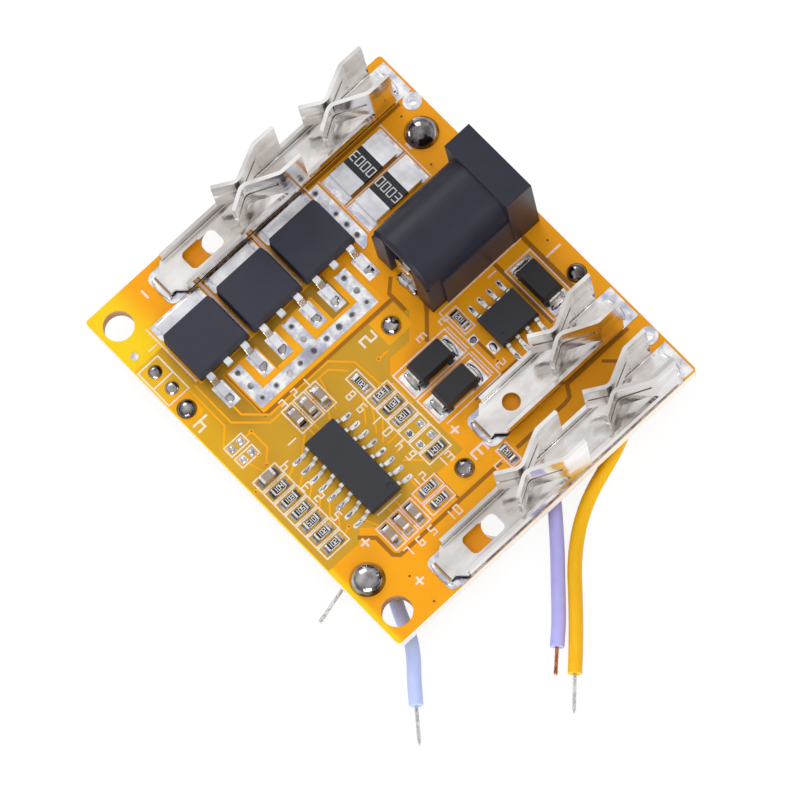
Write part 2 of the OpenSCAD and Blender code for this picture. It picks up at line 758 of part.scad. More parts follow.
module jack_housing() {
    block_y = jack_mouth_y - jack_block_l;
    slot_gap = leg_fit;
    color("#26262a")
        difference() {
            union() {
                bar([jack_w, jack_block_l, jack_h], jack_x, jack_mouth_y - jack_block_l / 2, top_z);
                bar([jack_body_w, block_y - jack_rear_y + eps, jack_axis_h],
                    jack_x, (block_y + jack_rear_y + eps) / 2, top_z);
                along_axis(2 * barrel_r, jack_rear_y + rim_chamfer, block_y + eps);
                translate([jack_x, jack_rear_y + rim_chamfer, jack_axis_z])
                    rotate([90, 0, 0])
                        cylinder(r1 = barrel_r, r2 = barrel_r - rim_chamfer, h = rim_chamfer);
            }
            along_axis(jack_bore_d, jack_mouth_y - jack_bore_l, jack_mouth_y + 1);
            along_axis(pin_shank_d + 2 * slot_gap, recess_y - 1, pin_seat_y + 1);
            bar([recess_w, rear_recess_l + 1, recess_h + 0.5],
                jack_x, recess_y - (rear_recess_l + 1) / 2, top_z - 0.5);
            bar([groove_w, jack_bore_l - 3, jack_axis_h],
                jack_x, jack_mouth_y - 1 - (jack_bore_l - 3) / 2, top_z - eps);
            bar([2 * switch_reach, tail_w + 2 * slot_gap, blade_t + 2 * slot_gap],
                jack_x - jack_body_w / 2, switch_tail_y, switch_top_z - blade_t / 2 - slot_gap);
            for (s = [-1, 1])
                bar([2 * rear_step_d, 2 * rear_step_l, jack_h + 1],
                    jack_x + s * jack_body_w / 2, jack_rear_y, top_z - 0.5);
        }
}

// Centre pin with its domed tip and the thicker shank that is riveted to the rear blade
module jack_pin() {
    color("silver") {
        translate([jack_x, blade_y, jack_axis_z])
            rotate([-90, 0, 0])
                rotate_extrude()
                    union() {
                        square([pin_shank_d / 2, pin_seat_y - blade_y]);
                        square([jack_pin_d / 2, pin_tip_y - blade_y - pin_dome]);
                        translate([0, pin_tip_y - blade_y - pin_dome])
                            intersection() {
                                circle(pin_dome);
                                square([pin_dome, pin_dome]);
                            }
                    }
        bar([blade_w, blade_t, jack_axis_z + blade_w / 2], jack_x, blade_y + blade_t / 2, 0);
        translate([jack_x, blade_y + eps, jack_axis_z])
            rotate([90, 0, 0])
                dome(0.95, 0.4);
    }
}

// Lower spring of the jack: a bowed leaf in the bore floor with a tail
module jack_spring() {
    y0 = spring_tail_y;
    y1 = jack_mouth_y - spring_setback;
    bow_y = (y0 + y1) / 2;
    low_z = top_z + 1.2;
    high_z = jack_axis_z - jack_bore_d / 2 + 0.7;
    line = [[y0, 0], [y0, low_z], [bow_y, high_z], [y1, low_z]];
    color("silver")
        translate([jack_x, 0, 0])
            rotate([0, 0, 90])
                bent_lead(line, blade_t, 0.5, tail_w);
}

// Side contact that opens when a plug goes in
module jack_switch() {
    color("silver")
        translate([0, switch_tail_y, 0])
            bent_lead([[switch_x, 0], [switch_x, switch_top_z],
                [jack_x - jack_body_w / 2 + switch_reach - leg_fit, switch_top_z]], blade_t, 0.4, tail_w);
}

// ============================= transistors =================================

function fet_centre_y(i) = fet_y - i * fet_pitch;

module fet_body(i) {
    pocket_x0 = fet_x0 - 1;
    pocket_x1 = fet_x0 + fet_pocket_l;
    y = fet_centre_y(i);
    color("#33343c")
        difference() {
            translate([(fet_x0 + fet_x1) / 2, y, top_z])
                moulded(fet_l, fet_w, 0.06, fet_h, fet_lead_z, fet_lead_t, 0.22);
            for (s = [-1, 1])
                translate([fet_x0, y + s * fet_w / 2, top_z - 1])
                    rotate([0, 0, 45])
                        bar([fet_corner * sqrt(2), fet_corner * sqrt(2), fet_h + 2]);
            bar([pocket_x1 - pocket_x0, fet_tab_w, fet_lead_t + 1],
                (pocket_x0 + pocket_x1) / 2, y, top_z - 1);
        }
}

// Lead frame: heat tab under the body, two gull-wing leads and a cut one
module fet_frame(i) {
    y = fet_centre_y(i);
    tab_x0 = fet_x0 - fet_tab_l;
    tab_x1 = fet_x0 + fet_pocket_l;
    foot_z = fet_lead_t / 2;
    knee = fet_x1 + 0.55;
    color("silver") {
        bar([tab_x1 - tab_x0, fet_tab_w, fet_lead_t], (tab_x0 + tab_x1) / 2, y, top_z);
        for (s = [-1, 1])
            translate([0, y + s * fet_lead_pitch, top_z])
                bent_lead([[fet_x1, fet_lead_z], [knee, fet_lead_z], [knee + 0.55, foot_z],
                    [fet_x1 + fet_lead_l, foot_z]], fet_lead_t, 0.3, fet_lead_w);
        bar([0.75, fet_lead_w, fet_lead_t], fet_x1 + 0.375, y, top_z + fet_lead_z - fet_lead_t / 2);
    }
}

// ============================ small parts ==================================

// Gull-wing leads on both sides of a chip of width w, count on each side
module gull_leads(count, w) {
    exit_z = (chip_top_h + chip_standoff) / 2;
    foot_z = chip_lead_t / 2;
    x0 = w / 2;
    line = [[x0, exit_z], [x0 + 0.28, exit_z], [x0 + 0.48, foot_z], [x0 + chip_lead_l, foot_z]];
    for (s = [0, 1], i = [0 : count - 1])
        rotate([0, 0, 180 * s])
            translate([0, (i - (count - 1) / 2) * lead_pitch, 0])
                bent_lead(line, chip_lead_t, 0.12, chip_lead_w);
}

// Moulded chip body with its pin-1 dimple, long side along Y
module chip_body(l, w) {
    split = (chip_top_h + chip_standoff) / 2;
    difference() {
        moulded(w, l, chip_standoff, chip_top_h, split, chip_lead_t, 0.12);
        translate([w / 2 - 0.75, -l / 2 + 0.75, chip_top_h - 0.08])
            cylinder(d = 0.7, h = 1);
    }
}

function chip_body_l(count) = (count - 1) * lead_pitch + chip_end_l;

module controller_body() {
    color("#2c2d33")
        translate([ctrl_x, ctrl_y, top_z])
            rotate([0, 0, 90])
                chip_body(chip_body_l(ctrl_leads), chip_w);
}

module controller_leads() {
    color("silver")
        translate([ctrl_x, ctrl_y, top_z])
            rotate([0, 0, 90])
                gull_leads(ctrl_leads, chip_w);
}

module gate_body() {
    color("#2c2d33")
        translate([gate_x, gate_y, top_z])
            chip_body(chip_body_l(gate_leads), chip_w);
}

module gate_leads_row() {
    color("silver")
        translate([gate_x, gate_y, top_z])
            gull_leads(gate_leads, chip_w);
}

module at_place(p) {
    translate([p[0], p[1], top_z])
        rotate([0, 0, p[2]])
            children();
}

module diode_body(i) {
    color("#232428")
        at_place(diode_places[i])
            moulded(diode_l, diode_w, diode_lead_t, diode_h, diode_h / 2, diode_lead_t, 0.22);
}

// J-shaped leads that fold under the diode's body
module diode_leads(i) {
    t = diode_lead_t;
    x = diode_l / 2;
    line = [[x, diode_h / 2], [x + 0.25, diode_h / 2], [x + 0.25, t / 2], [x - 0.9, t / 2]];
    color("silver")
        at_place(diode_places[i])
            for (s = [0, 1])
                rotate([0, 0, 180 * s])
                    bent_lead(line, t, 0.15, diode_lead_w);
}

// Metal shunt, long side along Y: bright ends and a coated middle
module shunt(i) {
    y = shunt_y;
    x = shunt_x + i * shunt_pitch;
    end_y = shunt_l / 2 - shunt_end_l / 2;
    color("silver") {
        for (s = [-1, 1])
            bar([shunt_w, shunt_end_l, shunt_h], x, y + s * end_y, top_z);
        bar([shunt_w - 0.1, shunt_l - 2 * shunt_end_l + 2 * eps, shunt_h - 0.06], x, y, top_z + 0.03);
    }
}

// Two-terminal chip part of height h: ceramic block with plated end caps
module chip_part(h) {
    inner_l = chip_l - 2 * cap_end_l;
    bar([inner_l + 2 * eps, chip_b - 2 * cap_plate, h - 2 * cap_plate], 0, 0, cap_plate);
    for (s = [-1, 1])
        bar([cap_end_l, chip_b, h], s * (chip_l - cap_end_l) / 2, 0, 0);
}

module chip_resistor(p) {
    color("#202024")
        at_place(p)
            chip_part(res_h);
}

module chip_capacitor(p) {
    color("#a89c8c")
        at_place(p)
            chip_part(cap_h);
}

// ============================ solder joints ================================

// Joint through the board: dome on top, barrel in its hole, cone below
module through_joint(r, h, hole_d, cone_h) {
    barrel_r_in = hole_d / 2 - eps;
    translate([0, 0, top_z])
        dome(r, h);
    translate([0, 0, under_z - eps])
        cylinder(r = barrel_r_in, h = board_t + 2 * eps);
    translate([0, 0, under_z - cone_h])
        rotate_extrude()
            polygon([[0, 0], [hole_d * 0.3, 0], [hole_d * 0.45, cone_h * 0.6], [r * 0.85, cone_h], [0, cone_h]]);
}

// Pack terminal joints with their clipped stubs, and two probe bumps
module power_joints() {
    stub_r = power_hole_d / 2 - 0.2;
    color("lightgrey") {
        for (p = [pack_neg, pack_pos])
            translate([p[0], p[1], 0]) {
                through_joint(power_dome_r, power_dome_h, power_hole_d, stand_h / 2);
                cylinder(r = stub_r, h = stand_h);
            }
        for (p = [probe_1, probe_2])
            translate([p[0], p[1], top_z])
                dome(probe_dome_r, probe_dome_h);
    }
}

// Bare core that comes down from a tap and turns level, along +X
module core_elbow() {
    r = core_bend_r;
    translate([0, 0, wire_z + r])
        cylinder(d = core_d, h = under_z - wire_z - r);
    translate([r, 0, wire_z + r])
        rotate([90, 0, 0])
            rotate([0, 0, 180])
                rotate_extrude(angle = 90)
                    translate([r, 0])
                        circle(d = core_d, $fn = 24);
    translate([r, 0, wire_z])
        rotate([0, 90, 0])
            cylinder(d = core_d, h = core_tail);
}

module tap_joints() {
    color("lightgrey")
        for (i = [0 : len(taps) - 1])
            translate([taps[i][0], taps[i][1], 0]) {
                through_joint(tap_dome_r, tap_dome_h, tap_hole_d, 0.5);
                rotate([0, 0, tap_headings[i]])
                    core_elbow();
            }
}

// ================================ wires ====================================

// The route with its start at the tap's core, straight out for the first stretch
function wire_line(i, route) =
    let (
        h = [cos(tap_headings[i]), sin(tap_headings[i])],
        exit = taps[i] + h * (core_bend_r + core_tail)
    )
    concat([exit, exit + h * core_tail], [for (p = route) p + taps[i]]);

// One ring of a wire round point i of line p
function ring(p, i) =
    let (
        h = heading(p, i),
        n = left(h)
    )
    [for (k = [0 : wire_sides - 1])
        let (a = 360 * k / wire_sides)
        [p[i][0] + n[0] * wire_d / 2 * cos(a), p[i][1] + n[1] * wire_d / 2 * cos(a),
            wire_z + wire_d / 2 * sin(a)]];

module wire(line) {
    n = wire_sides;
    rings = len(line);
    points = [for (i = [0 : rings - 1]) each ring(line, i)];
    sides = [for (i = [0 : rings - 2], k = [0 : n - 1])
        [i * n + k, i * n + (k + 1) % n, (i + 1) * n + (k + 1) % n, (i + 1) * n + k]];
    first = [for (k = [n - 1 : -1 : 0]) k];
    last = [for (k = [0 : n - 1]) (rings - 1) * n + k];
    polyhedron(points, concat([first], sides, [last]), convexity = 6);
}

// Bare twisted core at a wire's far end, dipping to the standing plane
module core_tip(line, tip) {
    end = line[len(line) - 1];
    h = heading(line, len(line) - 1);
    dip = asin((wire_z - core_d / 2 - eps) / tip);
    start = end + h * sin(dip) * core_d / 2;
    translate([start[0], start[1], wire_z])
        rotate([0, 90 + dip, atan2(h[1], h[0])])
            cylinder(d = core_d, h = tip, $fn = 24);
}

module wire_yellow() {
    color("gold")
        wire(wire_line(0, yellow_route));
}

module wire_violet() {
    color("#a8a0e8")
        wire(wire_line(1, violet_route));
}

module wire_blue() {
    color("#a8bcff")
        wire(wire_line(2, blue_route));
}

module wire_grey() {
    color("#a8bcff")
        wire(wire_line(3, grey_route));
}

module core_yellow() {
    color("silver")
        core_tip(wire_line(0, yellow_route), tips[0]);
}

module core_violet() {
    color("#c08060")
        core_tip(wire_line(1, violet_route), tips[1]);
}

module core_blue() {
    color("silver")
        core_tip(wire_line(2, blue_route), tips[2]);
}

module core_grey() {
    color("silver")
        core_tip(wire_line(3, grey_route), tips[3]);
}

// =============================== assembly ==================================

board();
tinned_copper();
strip_negative();
strip_charge();
strip_positive();
jack_housing();
jack_pin();
jack_spring();
jack_switch();
for (i = [0 : fet_count - 1]) {
    fet_body(i);
    fet_frame(i);
}
for (i = [0 : 1])
    shunt(i);
controller_body();
controller_leads();
gate_body();
gate_leads_row();  // gate_leads
for (i = [0 : len(diode_places) - 1]) {
    diode_body(i);
    diode_leads(i);
}
for (i = [0 : front_row_count - 1])
    chip_resistor([front_row_x + i * chip_pitch, front_row_y, 90]);
for (i = [0 : len(mid_row_slots) - 1])
    chip_resistor([mid_row_x + mid_row_slots[i] * chip_pitch, mid_row_y, 90]);
for (i = [0 : len(single_res) - 1])
    chip_resistor(single_res[i]);
for (i = [0 : 2]) {
    chip_capacitor([left_caps[0], left_caps[1] - i * cap_pitch_y, 0]);
    chip_capacitor([right_caps[0], right_caps[1] - i * cap_pitch_y, 0]);
}
chip_capacitor([front_cap[0], front_cap[1], 90]);  // cap_front
power_joints();
tap_joints();
wire_yellow();
wire_violet();
wire_blue();
wire_grey();
core_yellow();
core_violet();
core_blue();
core_grey();
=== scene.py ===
"""Looks of the battery management board.

Order: camera, node helpers, materials, mesh helpers, wires, the CAD nodes' materials,
board printing, chip parts, solder, jack lug, floor and light.
"""
import math
import random

import bmesh
import bpy
from mathutils import Matrix, Vector


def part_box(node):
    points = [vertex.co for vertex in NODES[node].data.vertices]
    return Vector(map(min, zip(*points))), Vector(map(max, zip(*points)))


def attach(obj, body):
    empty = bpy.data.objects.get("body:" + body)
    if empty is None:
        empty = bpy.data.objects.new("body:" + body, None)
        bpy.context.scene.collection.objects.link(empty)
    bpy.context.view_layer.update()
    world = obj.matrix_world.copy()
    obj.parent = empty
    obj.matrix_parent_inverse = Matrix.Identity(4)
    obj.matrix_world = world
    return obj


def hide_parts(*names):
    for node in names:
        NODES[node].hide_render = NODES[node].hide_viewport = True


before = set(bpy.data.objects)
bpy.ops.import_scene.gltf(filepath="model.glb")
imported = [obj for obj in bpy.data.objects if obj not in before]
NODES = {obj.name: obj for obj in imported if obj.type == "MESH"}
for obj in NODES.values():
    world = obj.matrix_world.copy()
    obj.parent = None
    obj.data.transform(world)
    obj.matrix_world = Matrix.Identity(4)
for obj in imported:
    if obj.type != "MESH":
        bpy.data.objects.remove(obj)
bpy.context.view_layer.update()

MM = 0.001          # the numbers below are millimetres unless they say metres
rng = random.Random(7)

# ------------------------------------------------------------ camera --------
SENSOR_WIDTH = 36.0
LENS = 313.83
CAMERA_AT = Vector((194.29, -92.59, 660.62))
RIGHT = Vector((0.676071, 0.730635, -0.095389))
AHEAD = Vector((-0.274874, 0.129934, -0.952660))
NEAR_M, FAR_M = 0.05, 20.0

scene = bpy.context.scene
cam_data = bpy.data.cameras.new("photo_camera")
cam_data.sensor_width = SENSOR_WIDTH
cam_data.lens = LENS
cam_data.clip_start, cam_data.clip_end = NEAR_M, FAR_M
cam = bpy.data.objects.new("photo_camera", cam_data)
scene.collection.objects.link(cam)
ahead = (AHEAD - RIGHT * AHEAD.dot(RIGHT)).normalized()
up = RIGHT.cross(ahead).normalized()
turn = Matrix((RIGHT, up, -ahead)).transposed().to_4x4()
cam.matrix_world = Matrix.Translation(CAMERA_AT * MM) @ turn
scene.camera = cam


# ------------------------------------------------------ node helpers --------
class Tree:
    """A node tree with a few short calls."""

    def __init__(self, tree):
        self.tree = tree

    def feed(self, socket, value):
        """Links another node's output to an input, or writes a plain value there."""
        if isinstance(value, bpy.types.NodeSocket):
            self.tree.links.new(value, socket)
        else:
            socket.default_value = value

    def node(self, kind, **inputs):
        """Adds a node and feeds the inputs that are named."""
        n = self.tree.nodes.new(kind)
        for key, value in inputs.items():
            self.feed(n.inputs[key], value)
        return n

    def math(self, operation, *values):
        """Result of an operation on outputs or numbers."""
        n = self.tree.nodes.new("ShaderNodeMath")
        n.operation = operation
        for socket, value in zip(n.inputs, values):
            self.feed(socket, value)
        return n.outputs[0]


class Mat(Tree):
    """A principled material; noise and patterns follow the piece's own coordinates."""

    def __init__(self, name, rough=0.5, metal=0.0, specular=0.5):
        self.material = bpy.data.materials.new(name)
        self.material.use_nodes = True
        super().__init__(self.material.node_tree)
        self.shader = self.tree.nodes["Principled BSDF"]
        self.set("Roughness", rough)
        self.set("Metallic", metal)
        self.set("Specular IOR Level", specular)
        self.place = self.node("ShaderNodeTexCoord").outputs["Object"]

    def set(self, key, value):
        """Writes a constant on the shader's own socket."""
        self.shader.inputs[key].default_value = value

    def noise(self, scale, detail=3.0, rough=0.5, stretch=None):
        """Noise from 0 to 1, stretched on request."""
        place = self.place
        if stretch:
            mapping = self.node("ShaderNodeMapping", Vector=place)
            mapping.inputs["Scale"].default_value = stretch
            place = mapping.outputs[0]
        n = self.node("ShaderNodeTexNoise", Vector=place, Scale=scale, Detail=detail,
            Roughness=rough)
        return n.outputs["Fac"]

    def ramp(self, fac, *stops):
        """Colour ramp through stops, each a place and a colour."""
        n = self.node("ShaderNodeValToRGB", Fac=fac)
        elements = n.color_ramp.elements
        while len(elements) < len(stops):
            elements.new(0.5)
        for element, (position, colour) in zip(elements, stops):
            element.position = position
            element.color = (*colour, 1)
        return n.outputs["Color"]

    def mix(self, fac, a, b):
        """Colour between a and b, each another output or a plain colour."""
        n = self.tree.nodes.new("ShaderNodeMix")
        n.data_type = "RGBA"
        self.feed(n.inputs[0], fac)
        for key, v in ((6, a), (7, b)):     # the two colour inputs of an RGBA mix
            self.feed(n.inputs[key], v if isinstance(v, bpy.types.NodeSocket) else (*v, 1))
        return n.outputs[2]

    def step(self, value, lo, hi):
        """Soft step from 0 at lo to 1 at hi."""
        n = self.tree.nodes.new("ShaderNodeMapRange")
        n.interpolation_type = "SMOOTHSTEP"
        self.feed(n.inputs["Value"], value)
        n.inputs["From Min"].default_value, n.inputs["From Max"].default_value = lo, hi
        return n.outputs["Result"]

    def base(self, colour):
        """Feeds the base colour."""
        self.feed(self.shader.inputs["Base Color"], colour)
        return self

    def rough(self, fac, lo, hi):
        """Feeds the roughness, from lo to hi."""
        n = self.tree.nodes.new("ShaderNodeMapRange")
        self.feed(n.inputs["Value"], fac)
        n.inputs["To Min"].default_value, n.inputs["To Max"].default_value = lo, hi
        self.feed(self.shader.inputs["Roughness"], n.outputs["Result"])
        return self

    def bump(self, height, strength, distance=0.00005):
        """Feeds the normal with small relief."""
        n = self.node("ShaderNodeBump", Height=height, Strength=strength, Distance=distance)
        self.feed(self.shader.inputs["Normal"], n.outputs["Normal"])
        return self


def srgb(r, g, b):
    """Linear colour of an sRGB colour given as 0 to 255."""
    return tuple(((c / 255 + 0.055) / 1.055) ** 2.4 if c > 10 else c / 3294.6 for c in (r, g, b))


# --------------------------------------------------------- materials --------
# Noise scales are per metre, and places in materials and bump heights are in metres.
FINE_GRAIN = 2600
HALF_X, HALF_Y = 0.0226, 0.0197     # just inside the board's edges: the walls of holes


def make_board():
    """Orange mask, yellower in one corner, with pale edges and brown walls in the holes."""
    m = Mat("board_mask", rough=0.42, specular=0.22)
    xyz = m.node("ShaderNodeSeparateXYZ", Vector=m.place).outputs
    normal = m.node("ShaderNodeNewGeometry").outputs["Normal"]
    nz = m.node("ShaderNodeSeparateXYZ", Vector=normal).outputs["Z"]
    weave = m.noise(FINE_GRAIN, 2, 0.6)
    cloud = m.noise(95, 3, 0.55)
    orange = m.mix(cloud, srgb(250, 156, 0), srgb(255, 178, 8))
    yellow = m.mix(cloud, srgb(250, 200, 4), srgb(255, 224, 20))
    left = m.step(xyz["X"], -0.0125, -0.0172)
    front = m.step(xyz["Y"], -0.0136, -0.0174)
    corner = m.math("MULTIPLY", left, front)
    edge = m.step(xyz["Y"], -0.0192, -0.0199)
    top = m.mix(m.math("MAXIMUM", corner, edge), orange, yellow)
    top = m.mix(m.math("MULTIPLY", weave, 0.10), top, srgb(150, 96, 8))
    under = m.mix(m.noise(120, 2), srgb(196, 138, 24), srgb(238, 172, 44))
    side = m.mix(m.noise(3000, 2, 0.7, (1, 1, 4)), srgb(238, 231, 216), srgb(252, 248, 238))
    in_x = m.math("LESS_THAN", m.math("ABSOLUTE", xyz["X"]), HALF_X)
    in_y = m.math("LESS_THAN", m.math("ABSOLUTE", xyz["Y"]), HALF_Y)
    inner = m.math("MULTIPLY", in_x, in_y)
    side = m.mix(inner, side, srgb(196, 146, 92))
    face = m.mix(m.step(nz, 0.3, 0.6), side, top)
    face = m.mix(m.step(nz, -0.3, -0.6), face, under)
    m.base(face).rough(weave, 0.34, 0.48).bump(weave, 0.08)
    return m.material


def make_bare():
    """Bare laminate: olive, darker by the transistors in its own tone and in painted shade; golden
    along the front left.
    """
    m = Mat("bare_laminate", rough=0.40, specular=0.25)
    xyz = m.node("ShaderNodeSeparateXYZ", Vector=m.place).outputs
    cloud = m.noise(110, 3, 0.6)
    olive = m.mix(cloud, srgb(194, 144, 22), srgb(220, 168, 44))
    gold = m.mix(cloud, srgb(232, 172, 8), srgb(246, 194, 24))
    left = m.math("MULTIPLY", m.step(xyz["Y"], -0.0150, -0.0188), m.step(xyz["X"], 0.006, -0.012))
    # painted shade, in part: the laminate darkens towards the transistors' tall bodies
    dark = m.step(xyz["X"], -0.0020, -0.0060)
    top = m.mix(m.math("MULTIPLY", dark, 0.45), olive, srgb(120, 78, 8))
    top = m.mix(left, top, gold)
    m.base(top).rough(cloud, 0.28, 0.40).bump(m.noise(FINE_GRAIN, 2, 0.6), 0.10)
    return m.material


def make_mask(name, low, high, scale=240, rough=(0.25, 0.36), specular=0.22):
    """Solder mask over a copper trace or a channel."""
    m = Mat(name, rough=0.4, specular=specular)
    cloud = m.noise(scale, 3, 0.6)
    m.base(m.mix(cloud, low, high)).rough(cloud, *rough)
    return m.material


def make_print(name, *stops):
    """Screen print, thin and uneven."""
    m = Mat(name, rough=0.6)
    n = m.noise(3200, 4, 0.7)
    m.base(m.ramp(n, *stops))
    m.rough(n, 0.5, 0.7).bump(n, 0.25, 0.00001)
    return m.material


def metal(name, low, high, rough, scale, bump, stretch=None, distance=0.00005, tarnish=None,
        painted_shade_reach=0.0):
    """Plated metal or solder; tarnish is a colour and its share; the last argument is the reach in
    metres of a painted shade that darkens crevices.
    """
    m = Mat(name, metal=1.0, rough=rough[0])
    n = m.noise(scale, 4, 0.55, stretch)
    col = m.mix(m.step(n, 0.34, 0.66), low, high)
    if tarnish:
        patch = m.step(m.noise(scale * 0.35, 3, 0.6), 0.52, 0.72)
        col = m.mix(m.math("MULTIPLY", patch, tarnish[1]), col, tarnish[0])
    if painted_shade_reach:
        # painted shade: ambient occlusion darkens the colour in slits, folds and along the board
        shade = m.node("ShaderNodeAmbientOcclusion", Distance=painted_shade_reach).outputs["AO"]
        col = m.mix(m.step(shade, 0.25, 0.8), srgb(112, 104, 100), col)
    m.base(col).rough(n, *rough).bump(n, bump, distance)
    return m.material


def make_moulding(name, low, high, scale, rough, bump, specular=0.4):
    """Moulded plastic, ceramic or glaze with fine grain."""
    m = Mat(name, specular=specular)
    n = m.noise(scale, 3, 0.6)
    big = m.noise(420, 2, 0.5)
    m.base(m.mix(m.math("MULTIPLY", m.math("ADD", n, big), 0.5), low, high))
    m.rough(big, *rough).bump(n, bump, 0.000012)
    return m.material


def make_insulation(name, low, high):
    """Soft wire insulation that lets a little light in."""
    m = Mat(name, rough=0.42, specular=0.3)
    n = m.noise(900, 3, 0.6)
    m.base(m.mix(n, low, high)).rough(n, 0.36, 0.52)
    m.bump(m.noise(FINE_GRAIN, 2, 0.5), 0.12, 0.00002)
    m.set("Subsurface Weight", 0.15)
    m.set("Subsurface Radius", (0.0006, 0.0006, 0.0006))
    m.set("Subsurface Scale", 1.0)
    return m.material


MATERIALS = {
    "board": make_board(),
    "bare": make_bare(),
    "channel": make_mask("isolation_channel", srgb(150, 92, 4), srgb(184, 118, 8), 260,
        (0.32, 0.45), 0.25),
    "trace": make_mask("masked_trace", srgb(248, 160, 2), srgb(255, 184, 14)),
    # painted light: a redder copy of the trace mask for the shaded mask under the strips
    "slot_mask_painted_light": make_mask("mask_in_slots_painted_light", srgb(255, 148, 2), srgb(255, 170, 12)),
    "silk": make_print("screen_print", (0.30, srgb(244, 192, 164)), (0.46, srgb(254, 222, 208)),
        (0.75, srgb(255, 236, 226))),
    "silk_laminate": make_print("screen_print_on_laminate", (0.28, srgb(230, 204, 164)),
        (0.46, srgb(244, 228, 204)), (0.78, srgb(255, 246, 234))),
    "tin": metal("tinned_pad", srgb(192, 192, 210), srgb(255, 255, 255), (0.14, 0.32), 820, 0.6,
        distance=0.00014, tarnish=(srgb(150, 150, 168), 0.6)),
    # the strip's colour carries a painted shade in its slits and where it meets the board
    "strip": metal("nickel_strip", srgb(208, 202, 198), srgb(252, 250, 248), (0.08, 0.22), 200, 0.6,
        stretch=(1, 0.6, 1), distance=0.00022, tarnish=(srgb(190, 184, 180), 0.3), painted_shade_reach=0.0014),
    "solder": metal("bright_solder", srgb(122, 118, 118), srgb(214, 212, 212), (0.05, 0.16), 480,
        0.6, distance=0.00020, tarnish=(srgb(84, 76, 74), 0.8)),
    "joint": metal("joint_solder", srgb(84, 78, 80), srgb(196, 192, 194), (0.05, 0.16), 420, 0.6,
        distance=0.00022, tarnish=(srgb(72, 60, 56), 0.8)),
    "plate": metal("plated_tab", srgb(206, 206, 212), srgb(246, 246, 250), (0.14, 0.28), 260, 0.35,
        distance=0.00012, tarnish=(srgb(176, 176, 186), 0.4)),
    "lead": metal("tinned_lead", srgb(204, 202, 200), srgb(240, 240, 240), (0.20, 0.38), 1300,
        0.30),
    "contact": metal("jack_contact", srgb(206, 204, 200), srgb(240, 238, 234), (0.14, 0.30), 700,
        0.35, distance=0.00008, tarnish=(srgb(140, 134, 128), 0.4)),
    "copper_strand": metal("copper_strand", srgb(176, 100, 64), srgb(226, 152, 108), (0.24, 0.40),
        2200, 0.2),
    "tin_strand": metal("tinned_strand", srgb(206, 204, 202), srgb(246, 244, 242), (0.22, 0.42),
        2200, 0.2),
    "cap_end": metal("plated_end", srgb(196, 194, 194), srgb(238, 238, 240), (0.24, 0.42), 1800,
        0.35),
    "fet": make_moulding("transistor_moulding", srgb(36, 38, 50), srgb(49, 51, 66), FINE_GRAIN,
        (0.45, 0.60), 0.15),
    "chip": make_moulding("chip_moulding", srgb(36, 37, 43), srgb(50, 51, 57), FINE_GRAIN,
        (0.45, 0.60), 0.15),
    "diode": make_moulding("diode_moulding", srgb(24, 24, 28), srgb(38, 38, 42), 1800, (0.35, 0.55),
        0.25),
    "jack": make_moulding("jack_moulding", srgb(26, 27, 39), srgb(42, 43, 58), FINE_GRAIN,
        (0.34, 0.46), 0.2, 0.35),
    "glaze": make_moulding("resistor_glaze", srgb(18, 18, 22), srgb(34, 34, 40), FINE_GRAIN,
        (0.22, 0.34), 0.1),
    "alumina": make_moulding("ceramic_white", srgb(214, 208, 198), srgb(236, 230, 222), FINE_GRAIN,
        (0.45, 0.6), 0.1),
    "ceramic": make_moulding("ceramic_tan", srgb(138, 124, 114), srgb(176, 160, 146), 1400,
        (0.32, 0.46), 0.15),
    "shunt_coat": make_moulding("shunt_coat", srgb(32, 35, 41), srgb(52, 56, 64), FINE_GRAIN,
        (0.4, 0.55), 0.15),
    "mark": make_moulding("white_mark", srgb(214, 214, 214), srgb(240, 240, 240), FINE_GRAIN,
        (0.5, 0.6), 0.1),
    "yellow": make_insulation("insulation_yellow", srgb(255, 184, 0), srgb(255, 199, 4)),
    "violet": make_insulation("insulation_violet", srgb(180, 176, 244), srgb(196, 194, 255)),
    "blue": make_insulation("insulation_blue", srgb(186, 202, 255), srgb(202, 216, 255)),
    "grey": make_insulation("insulation_grey", srgb(120, 122, 130), srgb(150, 152, 160)),
    "dark": make_moulding("hole_shadow", srgb(116, 54, 18), srgb(156, 84, 34), 900, (0.5, 0.7),
        0.1),
    # painted shade: the dark middle of an open via stands for the shade inside its hole
    "via_hole_painted_shade": make_moulding("via_hole_painted_shade", srgb(52, 54, 66), srgb(92, 94, 110), 900, (0.3, 0.5),
        0.1),
}


# ------------------------------------------------------ mesh helpers --------
HAIR, HAIR_STEPS = 0.0003, 16       # small height steps between overlapping prints


def add_piece(name, bm, mats, smooth=False):
    """Turns bmesh data in millimetres into a piece that rides on the root."""
    mesh = bpy.data.meshes.new(name)
    bmesh.ops.scale(bm, vec=(MM, MM, MM), verts=bm.verts)
    bm.normal_update()
    bm.to_mesh(mesh)
    bm.free()
    for key in mats:
        mesh.materials.append(MATERIALS[key])
    if smooth:
        mesh.polygons.foreach_set("use_smooth", [True] * len(mesh.polygons))
    piece = bpy.data.objects.new(name, mesh)
    scene.collection.objects.link(piece)
    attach(piece, "root")
    return piece


